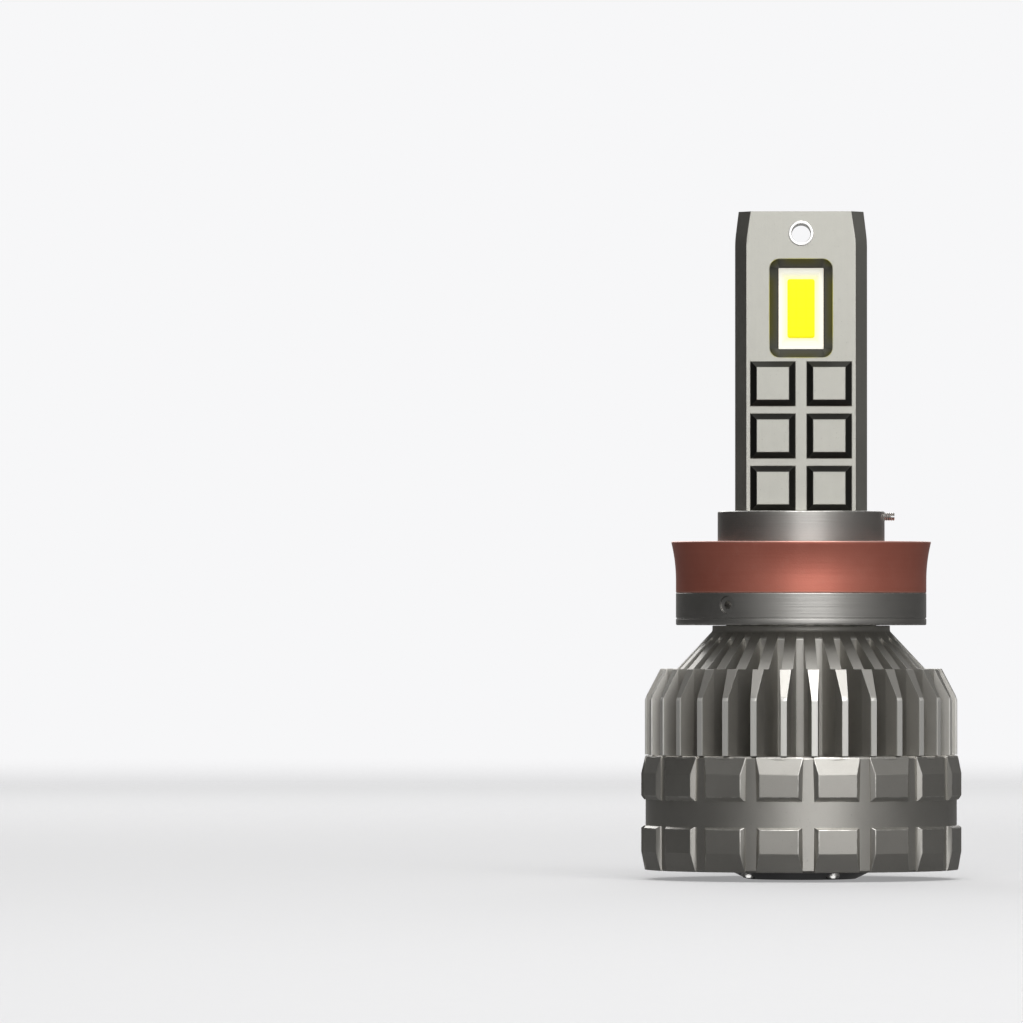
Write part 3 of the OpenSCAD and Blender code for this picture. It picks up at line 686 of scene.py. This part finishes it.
def lofted(rings):
    """A closed solid through rings of equally many points, each grown from the one before."""
    bm = bmesh.new()
    verts = [bm.verts.new(point) for point in rings[0]]
    edges = bm.faces.new(verts).edges[:]
    for ring in rings[1:]:
        grown = bmesh.ops.extrude_edge_only(bm, edges=edges)["geom"]
        fresh = [part for part in grown if isinstance(part, bmesh.types.BMVert)]
        grown_edges = [part for part in grown if isinstance(part, bmesh.types.BMEdge)]
        edges = [edge for edge in grown_edges if set(edge.verts) <= set(fresh)]
        verts = [min(fresh, key=lambda vert: (vert.co - old.co).length) for old in verts]
        for vert, point in zip(verts, ring):
            vert.co = point
    bm.faces.new(verts)
    return tidy(bm, 1e-6)


def rounded_ring(half_x, half_z, corner, y, centre_z, steps=6):
    """Points of an upright rectangle with round corners."""
    ring = []
    for quarter, (side_x, side_z) in enumerate(((1, 1), (-1, 1), (-1, -1), (1, -1))):
        for step in range(steps + 1):
            turn = math.radians(90 * (quarter + step / steps))
            ring.append((side_x * (half_x - corner) + corner * math.cos(turn), y,
                         centre_z + side_z * (half_z - corner) + corner * math.sin(turn)))
    return ring


def rod(radius, low, high, steps=40):
    """A plain round cutter along Z."""
    return turned([(0, low), (radius, low), (radius, high), (0, high)], steps)


def slab(low, high):
    """A plain block cutter between two corners."""
    bm = bmesh.new()
    bmesh.ops.create_cube(bm, size=1)
    bmesh.ops.scale(bm, verts=bm.verts, vec=Vector(high) - Vector(low))
    bmesh.ops.translate(bm, verts=bm.verts, vec=(Vector(low) + Vector(high)) / 2)
    return bm


def to_azimuth(bm, azimuth):
    """Turns what is drawn along +X to an azimuth."""
    return spun(bm, azimuth - 90)


def radial(bm, azimuth, height):
    """Lays what is drawn along Z out along a radius."""
    return to_azimuth(moved(spun(bm, 90, "Y"), z=height), azimuth)


def ranged(bm, count, phase=0.0, skip=None):
    """Repeats what is drawn along +X at equal steps of azimuth, and leaves one place out."""
    whole = bmesh.new()
    part = bpy.data.meshes.new("part")
    bm.to_mesh(part)
    for place in range(count):
        if place != skip:
            start = len(whole.verts)
            whole.from_mesh(part)
            whole.verts.ensure_lookup_table()
            turn = Matrix.Rotation(math.radians(phase + (place + 0.5) * 360 / count - 90), 3, "Z")
            bmesh.ops.rotate(whole, verts=whole.verts[start:], cent=(0, 0, 0), matrix=turn)
    bpy.data.meshes.remove(part)
    bm.free()
    return whole


def joined(*parts):
    """Several shells in one mesh."""
    whole = bmesh.new()
    for part in parts:
        mesh = bpy.data.meshes.new("part")
        part.to_mesh(mesh)
        whole.from_mesh(mesh)
        bpy.data.meshes.remove(mesh)
        part.free()
    return whole


def carved(bm, *cutters):
    """What is left of a solid when others are cut out of it."""
    bodies = []
    for part in (bm, *cutters):
        mesh = bpy.data.meshes.new("scratch")
        part.to_mesh(mesh)
        part.free()
        body = bpy.data.objects.new("scratch", mesh)
        scene.collection.objects.link(body)
        bodies.append(body)
    for cutter in bodies[1:]:
        cut = bodies[0].modifiers.new("cut", "BOOLEAN")
        cut.operation = "DIFFERENCE"
        cut.solver = "EXACT"
        cut.object = cutter
    made = bpy.data.meshes.new_from_object(bodies[0].evaluated_get(bpy.context.evaluated_depsgraph_get()))
    result = bmesh.new()
    result.from_mesh(made)
    bpy.data.meshes.remove(made)
    for body in bodies:
        mesh = body.data
        bpy.data.objects.remove(body)
        bpy.data.meshes.remove(mesh)
    return tidy(result, 1e-5)


def softened(bm, width=0.08, segments=2, angle=25, keep=None):
    """Rounds the edges that are sharper than an angle."""
    sharp = [edge for edge in bm.edges if edge.is_manifold and edge.calc_face_angle(0) > math.radians(angle)]
    if keep:
        sharp = [edge for edge in sharp if keep(edge)]
    bmesh.ops.bevel(bm, geom=sharp, offset=width, offset_type="OFFSET", segments=segments, profile=0.5,
                    affect="EDGES", material=-1, clamp_overlap=True)
    return tidy(bm, 1e-5)


def mark_worn_and_lit_edges(bm, width=0.16):
    """Writes 1 on the narrow faces along outer edges, for the finish to paint them paler, partly as wear and
    partly as a painted highlight.
    """
    layer = bm.loops.layers.float.new("edge_wear_and_highlight")
    for face in bm.faces:
        longest = max(edge.calc_length() for edge in face.edges)
        sides = [edge for edge in face.edges if edge.calc_length() > 0.5 * longest]
        turn = sum(edge.calc_face_angle_signed(0) for edge in sides)
        if face.calc_area() < width * longest and turn > math.radians(12):
            for loop in face.loops:
                loop[layer] = 1.0


def finished(bm, name, body, slot, stands_for=(), finish=None):
    """Turns a modelled piece into an object that rides on its body."""
    mark_worn_and_lit_edges(bm)
    bm.transform(Matrix.Scale(MM, 4))
    mesh = bpy.data.meshes.new(name)
    bm.to_mesh(mesh)
    bm.free()
    mesh.polygons.foreach_set("use_smooth", [True] * len(mesh.polygons))
    mesh.set_sharp_from_angle(angle=math.radians(38))
    mesh.materials.append(finishes[finish or slot])
    piece = bpy.data.objects.new(name, mesh)
    scene.collection.objects.link(piece)
    weighted = piece.modifiers.new("weighted", "WEIGHTED_NORMAL")
    weighted.keep_sharp = True
    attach(piece, body)
    if stands_for:
        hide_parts(*stands_for)
    return piece


# ---------------------------------------------------------------- lamp post

def plate_section(lean, height):
    """Cross-section of a plate, leaned in by so many millimetres."""
    half = post_half - lean
    face = face_half - lean / math.sin(flank_angle)
    flank = outer_y - (half - face) * math.tan(flank_angle)
    ring = [(half, inner_y), (half, flank), (face, outer_y)]
    ring += [(-x, y) for x, y in reversed(ring)]
    return [(x, -y, height) for x, y in ring]


def foot_section(height):
    """Cross-section of the foot, which stands in the stem."""
    foot_y = inner_y + foot_t
    ring = [(foot_half, inner_y), (foot_half, foot_y - foot_chamfer), (foot_half - foot_chamfer, foot_y)]
    ring += [(-x, y) for x, y in reversed(ring)]
    return [(x, -y, height) for x, y in ring]


def window_cutter():
    """Sloped recess with round corners, and the opening under it."""
    slope = (window_corner - window_root) / (outer_y - window_floor)
    over = 0.3
    mouth = window_corner + slope * over
    deep = chip_high.x + fit_gap, chip_high.z - light_z + fit_gap
    return lofted([
        rounded_ring(window_x + mouth, window_z + mouth, mouth, -outer_y - over, light_z),
        rounded_ring(window_x + window_root, window_z + window_root, window_root, -window_floor, light_z),
        rounded_ring(*deep, 0.08, -window_floor, light_z),
        rounded_ring(*deep, 0.08, 0, light_z),
    ])


def cross_hole(radius, height):
    """A round cutter from front to back through the axis."""
    return moved(spun(rod(radius, -10, 10), 90, "X"), z=height)


def plate():
    """One half of the post: bevelled flanks, leaning tip, window, studs and the foot below."""
    bm = lofted([
        foot_section(plate_low.z), foot_section(post_base),
        plate_section(0, post_base), plate_section(0, taper_z), plate_section(taper_lean, post_top),
    ])
    stud_places = [(side * stud_x, stud_low_z + row * stud_pitch) for side in (-1, 1) for row in range(3)]
    lines = {(x + side * stud_base / 2, "x") for x, _ in stud_places for side in (-1, 1)}
    lines |= {(z + side * stud_base / 2, "z") for _, z in stud_places for side in (-1, 1)}
    for place, across in sorted(lines):
        front = [face for face in bm.faces if abs(face.calc_center_median().y + outer_y) < 1e-4]
        geom = {part for face in front for part in (face, *face.edges, *face.verts)}
        where = (place, 0, 0) if across == "x" else (0, 0, place)
        normal = (1, 0, 0) if across == "x" else (0, 0, 1)
        bmesh.ops.bisect_plane(bm, geom=list(geom), plane_co=where, plane_no=normal, dist=1e-5)
    for x, z in stud_places:
        spot = Vector((x, -outer_y, z))
        top = min(bm.faces, key=lambda face: (face.calc_center_bounds() - spot).length)
        grown = bmesh.ops.extrude_discrete_faces(bm, faces=[top])["faces"][0]
        for vert in grown.verts:
            offset = vert.co - spot
            shrink = stud_top / stud_base
            vert.co = spot + Vector((offset.x * shrink, -stud_h, offset.z * shrink))
    bm = carved(tidy(bm), window_cutter(), cross_hole(eyelet_hole_r, eyelet_z), cross_hole(pin_r, pin_z))
    softened(bm, 0.7, 5, 2, keep=lambda edge: all(abs(vert.co.z - taper_z) < 0.01 for vert in edge.verts))
    return softened(bm, 0.09, 3, keep=lambda edge: max(vert.co.z for vert in edge.verts) > post_base - 0.1)


def chip_carrier():
    """Ceramic slab with a raised dam round the phosphor."""
    bm = slab(chip_low, chip_high)
    for depth, rise in ((0.45, 0.05), (0.36, -0.05)):
        front = [face for face in bm.faces if face.normal.y < -0.9]
        top = min(front, key=lambda face: face.calc_center_bounds().y)
        bmesh.ops.inset_region(bm, faces=[top], thickness=depth, use_even_offset=True)
        grown = bmesh.ops.extrude_discrete_faces(bm, faces=[top])["faces"][0]
        bmesh.ops.translate(bm, verts=grown.verts, vec=(0, -rise, 0))
    return softened(tidy(bm), 0.025, 2)


def phosphor_pad():
    """Silicone pad that swells slightly from its edge."""
    half_x = glow_high.x
    half_z = glow_high.z - light_z
    rise = [(0.0, 0.0), (0.0, 0.5), (0.05, 0.8), (0.2, 0.95), (0.6, 1.0)]
    depth = glow_high.y - glow_low.y
    return lofted([
        rounded_ring(half_x - inset, half_z - inset, max(0.3 - inset * 0.4, 0.05),
                     glow_high.y - depth * share, light_z)
        for inset, share in rise
    ])


def eyelet():
    """Rolled rivet that clamps the layers, open through its middle."""
    lip = -eyelet_low.y
    sleeve_r = eyelet_hole_r - fit_gap
    half = [
        (sleeve_r, outer_y), (eyelet_rim_r, outer_y), (eyelet_rim_r, lip, 0.05),
        (eyelet_bore_r, lip, 0.05),
    ]
    bm = turned([(point[0], -point[1], *point[2:]) for point in reversed(half)] + half, 64)
    spun(bm, 90, "X")
    return moved(bm, z=eyelet_z)


finished(plate(), "front_plate_metal", "root", "post_metal", ["front_plate"])
finished(spun(plate(), 180), "rear_plate_metal", "root", "post_metal", ["rear_plate"])
finished(chip_carrier(), "front_chip_carrier", "root", "led_ceramic", ["led_base_front"])
finished(spun(chip_carrier(), 180), "rear_chip_carrier", "root", "led_ceramic", ["led_base_rear"])
finished(phosphor_pad(), "front_phosphor_pad", "root", "phosphor", ["phosphor_front"])
finished(spun(phosphor_pad(), 180), "rear_phosphor_pad", "root", "phosphor", ["phosphor_rear"])
finished(eyelet(), "tip_eyelet", "root", "bright_steel", ["post_eyelet"])


# ---------------------------------------------------------------- collar

def collar():
    """Turned collar: neck, flange under the seal, and band with a scribed line near its lower edge."""
    line_z = collar_bottom + 0.78
    bm = turned([
        (bore_r, collar_bottom, 0.12), (band_r, collar_bottom, 0.16), (band_r, line_z - 0.08, 0.02),
        (band_r - 0.09, line_z - 0.05), (band_r - 0.09, line_z + 0.05), (band_r, line_z + 0.08, 0.02),
        (band_r, seal_bottom, 0.08), (seal_bore_r, seal_bottom), (seal_bore_r, metal_top, 0.08),
        (neck_r, metal_top), (neck_r, neck_h, 0.16), (bore_r, neck_h, 0.12),
    ], 224)
    return carved(bm, radial(rod(lock_hole_r, 7, 16), lock_screw_azimuth, lock_screw_z),
                  radial(rod(neck_hole_r, 7, 12), 90, neck_screw_z))


def seal():
    """Silicone band that flares to a lip along a large arc."""
    flare = lip_r - band_r
    arc_r = (flare_depth ** 2 + flare ** 2) / (2 * flare)
    rise = [flare_depth * step / 10 for step in range(10)]
    arc = [(band_r + arc_r - math.sqrt(arc_r ** 2 - height ** 2), height - flare_depth) for height in rise]
    return turned([
        (seal_bore_r, seal_bottom, 0.1), (band_r, seal_bottom, 0.14), *arc,
        (lip_r, 0, 0.16), (seal_bore_r, 0, 0.16),
    ], 224)


finished(collar(), "turned_collar", "collar", "collar_metal", ["collar"])
finished(seal(), "flared_seal", "collar", "seal_silicone", ["seal_ring"])


# ---------------------------------------------------------------- heat sink

def cable_way(start, end):
    """The cable's passage, as a cutter between two radii."""
    return radial(rod(gland_hole_r, start, end), gland_azimuth, gland_z)


def groove(radius, top, bottom):
    """The part of the stem's outline that goes round a groove."""
    return [(stem_r, top), (radius, top), (radius, bottom), (stem_r, bottom)]


def sink_core():
    """Stem, shoulder and core in one turning, with the slot for the post's foot."""
    cone_end = neck_end_z - (core_r - shoulder_r) * (neck_end_z - step_z) / (step_in_r - shoulder_r)
    bm = turned([
        (0, post_base), (stem_tip_r, post_base, 0.1), (stem_tip_r, stem_tip_z), (stem_r, stem_tip_z, 0.1),
        *groove(*ring_groove), *groove(*lock_groove), (stem_r, shoulder_z), (shoulder_r, shoulder_z, 0.1),
        (shoulder_r, neck_end_z, 0.2), (core_r, cone_end, 0.2), (core_r, sink_bottom, 0.1),
        (pocket_r, sink_bottom, 0.1), (pocket_r, pocket_top), (cavity_r, pocket_top), (cavity_r, cavity_top),
        (0, cavity_top),
    ], 160)
    slot = Vector((foot_half + fit_gap, inner_y + foot_t + fit_gap, post_base + 1))
    tail = Vector((tail_half + fit_gap, inner_y + fit_gap, plate_low.z + 1))
    return carved(
        bm,
        slab((-slot.x, -slot.y, plate_low.z - fit_gap), slot),
        slab((-tail.x, -tail.y, cavity_top - 0.8), tail),
        cross_hole(pin_r, pin_z),
        radial(rod(cable_passage_r, 8, 12), gland_azimuth, cable_passage_z),
        radial(rod(lead_passage_r, 8, 14.75), spoke_azimuth, lead_passage_z),
    )


def fin():
    """One fin: sloped shoulder, step, and a rim that narrows and is bevelled at its top."""
    bm = extruded([
        (fin_root_r, sink_bottom), (base_ring_r, sink_bottom), (base_ring_r, rim_end_z), (fin_r, rim_end_z),
        (fin_r, rim_start_z), (fin_r - 0.23, bevel_end_z), (step_out_r, step_z, 0.06), (step_in_r, step_z),
        (shoulder_r, neck_end_z, 0.05), (fin_root_r, neck_end_z - 0.05),
    ], fin_t)
    split(bm, step_out_r)
    for vert in bm.verts:
        share = max(0.0, (vert.co.x - step_out_r) / (fin_r - step_out_r))
        vert.co.y *= 1 + share * (fin_rim_t / fin_t - 1)
    return softened(bm, 0.1, 2, 20, keep=lambda edge: min(vert.co.x for vert in edge.verts) > 10)


def heat_sink():
    """Core, ring of fins and the ring that carries their lower ends."""
    fins = carved(ranged(fin(), fin_count, fin_phase), cable_way(core_r + 0.2, fin_r))
    ring = turned([
        (base_ring_in, sink_bottom), (base_ring_r, sink_bottom, 0.1), (base_ring_r, base_ring_top, 0.1),
        (base_ring_in, base_ring_top, 0.1),
    ], 160)
    return joined(sink_core(), fins, carved(ring, cable_way(core_r + 0.2, fin_r)))


finished(heat_sink(), "finned_heat_sink", "root", "sink_metal", ["heat_sink"], "fin_metal")


# ---------------------------------------------------------------- fan housing

def grip_block(profile):
    """One block with a flat face and sides that lean in towards it."""
    bm = extruded(profile, 2 * block_half)
    split(bm, shroud_r - 0.05)
    for vert in bm.verts:
        lean = max(0.0, vert.co.x - shroud_r + 0.05) * block_draft
        vert.co.y -= math.copysign(lean, vert.co.y)
    return softened(bm, 0.07, 2, 12, keep=lambda edge: max(vert.co.x for vert in edge.verts) > shroud_r - 0.3)


def fan_shroud():
    """Housing ring with two rows of grip blocks and the plain block of the cable outlet."""
    upper = [
        (block_root_r, row_top), (shroud_r - 0.1, row_top), (block_face_r, upper_bevel_z),
        (block_face_r, upper_face_z), (shroud_r + 0.05, upper_end_z), (block_root_r, upper_end_z),
    ]
    lower = [
        (block_root_r, lower_start_z), (shroud_r + 0.05, lower_start_z), (block_face_r, lower_face_z),
        (block_face_r, lower_bevel_z), (shroud_r - 0.05, shroud_bottom), (block_root_r, shroud_bottom),
    ]
    outlet = [
        (block_root_r, row_top), (block_face_r, row_top),
        (block_face_r, upper_end_z), (block_root_r, upper_end_z),
    ]
    wall = turned([
        (shelf_r, shroud_top, 0.06), (shroud_r - 0.25, shroud_top, 0.05), (shroud_r, shroud_top - 0.25, 0.05),
        (shroud_r, shroud_bottom + 0.2, 0.05), (shroud_r - 0.2, shroud_bottom, 0.05),
        (shelf_r, shroud_bottom, 0.06), (shelf_r, lower_shelf_z), (chamber_r, lower_shelf_z, 0.1),
        (chamber_r, shelf_z, 0.1), (shelf_r, shelf_z),
    ], 224)
    way = chamber_r - 1, block_face_r + 1
    wall = carved(wall, cable_way(*way))
    outlet_block = carved(to_azimuth(grip_block(outlet), gland_azimuth), cable_way(*way))
    return joined(wall, outlet_block, ranged(grip_block(upper), block_count, block_phase, gland_index),
                  ranged(grip_block(lower), block_count, block_phase))


def cable_gland():
    """Rubber grommet with a domed flange and a flared bore."""
    face = block_face_r
    body_r = gland_hole_r - fit_gap
    bm = turned([
        (gland_bore_r, gland_inner), (body_r, gland_inner), (body_r, face), (gland_flange_r, face, 0.08),
        (gland_flange_r, face + 0.5, 0.2), (gland_flange_r - 0.35, face + 0.9, 0.12),
        (gland_bore_r + 0.25, face + 0.9, 0.1), (gland_bore_r, face + 0.65, 0.08),
    ], 72)
    return radial(bm, gland_azimuth, gland_z)


finished(fan_shroud(), "grip_shroud", "root", "sink_metal", ["fan_shroud"])
finished(cable_gland(), "rubber_gland", "root", "black_rubber", ["cable_gland"])


# ---------------------------------------------------------------- fan

def at_ring(bm, azimuth, ring):
    """Moves what is drawn on the axis out to a ring of screws."""
    return to_azimuth(moved(bm, x=ring), azimuth)


def spoke():
    """A strut of the fan frame with rounded edges, thicker at its roots."""
    corners = (-1, frame_bottom), (1, frame_bottom), (1, spoke_top), (-1, spoke_top)
    swells = (7.9, 1.5), (8.7, 1.12), (9.6, 1.0), (12.8, 1.0), (13.7, 1.12), (14.6, 1.5)
    rings = [[(reach, side * spoke_half * swell, z) for side, z in corners] for reach, swell in swells]
    return softened(lofted(rings), 0.14, 2, 30)


def fan_frame():
    """Hub with its boss and bearing tube, rim, and four spokes, with recesses for the screws."""
    hub = turned([
        (hub_hole_r, boss_bottom), (label_r, boss_bottom, 0.03), (boss_r, boss_bottom, 0.1),
        (hub_r, shroud_bottom, 0.12), (hub_r, hub_top, 0.15), (tube_r, hub_top, 0.1),
        (tube_r, tube_top, 0.08), (bearing_r, tube_top), (bearing_r, bearing_bottom),
        (hub_hole_r, bearing_bottom),
    ], 128)
    rim = turned([
        (chamber_r, frame_bottom, 0.15), (frame_r, frame_bottom, 0.15), (frame_r, rim_top, 0.1),
        (chamber_r, rim_top, 0.1),
    ], 160)
    label_seat = rod(label_r, boss_bottom - 1, boss_bottom + 0.12, 96)
    hub_recesses = []
    rim_recesses = []
    struts = []
    for turn in (0, 90, 180, 270):
        recess = rod(hub_recess_r, boss_bottom - 1, hub_recess_top, 28)
        hub_recesses.append(at_ring(recess, hub_screw_azimuth + turn, hub_screw_ring))
        recess = rod(rim_recess_r, -38, rim_recess_top, 28)
        rim_recesses.append(at_ring(recess, shroud_screw_azimuth + turn, shroud_screw_ring))
        struts.append(to_azimuth(spoke(), spoke_azimuth + turn))
    return joined(carved(hub, label_seat, *hub_recesses), carved(rim, *rim_recesses), *struts)


def blade():
    """One fan blade: a cambered vane that sweeps forward and thins towards its tip."""
    across, along = 10, 12
    bm = bmesh.new()
    bmesh.ops.create_grid(bm, x_segments=across, y_segments=along, size=0.5)
    for vert in bm.verts:
        out = vert.co.x + 0.5
        down = vert.co.y + 0.5
        reach = blade_root_r + out * (blade_r - blade_root_r)
        fall = 0.15 * out * math.cos(math.pi * down)
        height = blade_high - 0.3 + (blade_low - blade_high + 0.6) * down + fall * 0.5
        turn = math.radians(34 * (down - 0.5) + 5 * math.sin(math.pi * down) - 7 * out)
        vert.co = (reach * math.cos(turn), reach * math.sin(turn), height)
    bmesh.ops.recalc_face_normals(bm, faces=bm.faces)
    bmesh.ops.solidify(bm, geom=bm.faces[:], thickness=0.5)
    return softened(tidy(bm), 0.12, 2, 50)


def fan_rotor():
    """Cup over the motor with its nine blades."""
    top = rotor_high.z
    roof = top - 0.8
    cup = turned([
        (shaft_hole_r, top, 0.1), (cup_r, top, 0.5), (cup_r, rotor_low.z, 0.08), (cup_in, rotor_low.z, 0.08),
        (cup_in, roof, 0.3), (1.7, roof), (1.7, roof - 0.5, 0.08), (shaft_hole_r, roof - 0.5),
    ], 128)
    return joined(cup, ranged(blade(), blade_count))


finished(fan_frame(), "fan_frame_moulding", "root", "black_plastic", ["fan_frame"])
finished(fan_rotor(), "bladed_rotor", "fan", "rotor_plastic", ["fan_rotor"])


# ---------------------------------------------------------------- pieces kept as they are packed

for part in frame["record"]["subparts"]:
    node = frame["nodes"][part["node"]]
    if not node.hide_render:
        node.data.materials.clear()
        node.data.materials.append(finishes[part["material_slot"]])


# ---------------------------------------------------------------- studio

def softbox(name, azimuth, elevation, distance, width, height, radiance):
    """A soft rectangular light that looks at the lamp and isn't seen by the camera."""
    data = bpy.data.lights.new(name, "AREA")
    data.shape = "RECTANGLE"
    data.size = width
    data.size_y = height
    data.energy = radiance * math.pi * width * height
    light = bpy.data.objects.new(name, data)
    scene.collection.objects.link(light)
    turn, rise = math.radians(azimuth), math.radians(elevation)
    out = Vector((math.sin(turn) * math.cos(rise), -math.cos(turn) * math.cos(rise), math.sin(rise)))
    light.location = out * distance
    light.rotation_mode = "QUATERNION"
    light.rotation_quaternion = out.to_track_quat("Z", "Y")
    light.visible_camera = False


softbox("front_softbox", 11, 0, 0.62, 0.46, 0.44, 0.95)
softbox("high_softbox", 10, 46, 0.62, 0.46, 0.34, 4.0)
softbox("top_softbox", 0, 88, 0.60, 0.60, 0.60, 0.9)
softbox("low_softbox", 0, -88, 0.50, 0.40, 0.40, 1.2)
softbox("back_softbox", 190, 32, 0.62, 0.56, 0.44, 2.0)


def backdrop():
    """Pale surroundings to the camera, and to the lamp a soft glow, strongest from the front."""
    world = bpy.data.worlds.new("studio")
    scene.world = world
    sky = Nodes(world)
    direction = sky.node("ShaderNodeTexCoord").outputs["Generated"]

    def glow(azimuth, spread, strength):
        """Light that fades with the angle from a direction; a greater spread number is narrower."""
        turn = math.radians(azimuth)
        toward = (math.sin(turn), -math.cos(turn), 0)
        facing = sky.node("ShaderNodeVectorMath", {"operation": "DOT_PRODUCT"}, {0: direction, 1: toward})
        return (Value(sky, facing.outputs["Value"]) * 0.5 + 0.5) ** spread * strength

    height = Value(sky, sky.node("ShaderNodeSeparateXYZ", None, {0: direction}).outputs["Z"])
    strength = glow(10, 7, 0.85) + glow(80, 3, 0.10) + glow(180, 30, 0.35)
    strength = strength + height.steps(-0.2, 0.8) * 0.09 + 0.035
    room = sky.node("ShaderNodeBackground", None, {"Color": rgb(1, 0.99, 0.97), "Strength": strength})
    seen = sky.node("ShaderNodeBackground", None, {"Color": rgb(0.93, 0.93, 0.94)})
    path = sky.node("ShaderNodeLightPath")
    choice = sky.node("ShaderNodeMixShader", None,
                      {0: path.outputs["Is Camera Ray"], 1: room.outputs[0], 2: seen.outputs[0]})
    sky.node("ShaderNodeOutputWorld", None, {"Surface": choice.outputs[0]})


def floor():
    """A pale round floor that fades into the backdrop. From below it is clear and lights the underside."""
    bm = bmesh.new()
    bmesh.ops.create_circle(bm, cap_ends=True, segments=96, radius=1.5)
    moved(bm, z=(boss_bottom - 0.03) * MM)
    mesh = bpy.data.meshes.new("floor")
    bm.to_mesh(mesh)
    bm.free()
    finish = Finish("floor", roughness=0.85, specular_ior_level=0.2)
    grain = finish.noise(400, detail=3)
    pale = finish.mix(grain * 0.3, rgb(0.50, 0.50, 0.505), rgb(0.53, 0.53, 0.535))
    finish.put(base_color=pale, emission_color=pale, emission_strength=0.58)
    clear = finish.node("ShaderNodeBsdfTransparent")
    dark = finish.node("ShaderNodeBsdfDiffuse", None, {"Color": rgb(0.15, 0.15, 0.15)})
    from_camera = Value(finish, finish.node("ShaderNodeLightPath").outputs["Is Camera Ray"])
    seen = finish.node("ShaderNodeMixShader", None,
                       {0: from_camera, 1: dark.outputs[0], 2: finish.shader.outputs[0]})
    below = finish.node("ShaderNodeNewGeometry").outputs["Backfacing"]
    under_lamp = 1 - (finish.radius() / MM).steps(shelf_r - 1.2, shelf_r - 0.8)
    fade = finish.radius().steps(0.2, 1.1).at_least(below).at_least(under_lamp * (1 - from_camera))
    blend = finish.node("ShaderNodeMixShader", None, {0: fade, 1: seen.outputs[0], 2: clear.outputs[0]})
    finish.feed(finish.output.inputs["Surface"], blend.outputs[0])
    mesh.materials.append(finish.material)
    plane = bpy.data.objects.new("floor", mesh)
    scene.collection.objects.link(plane)


backdrop()
floor()
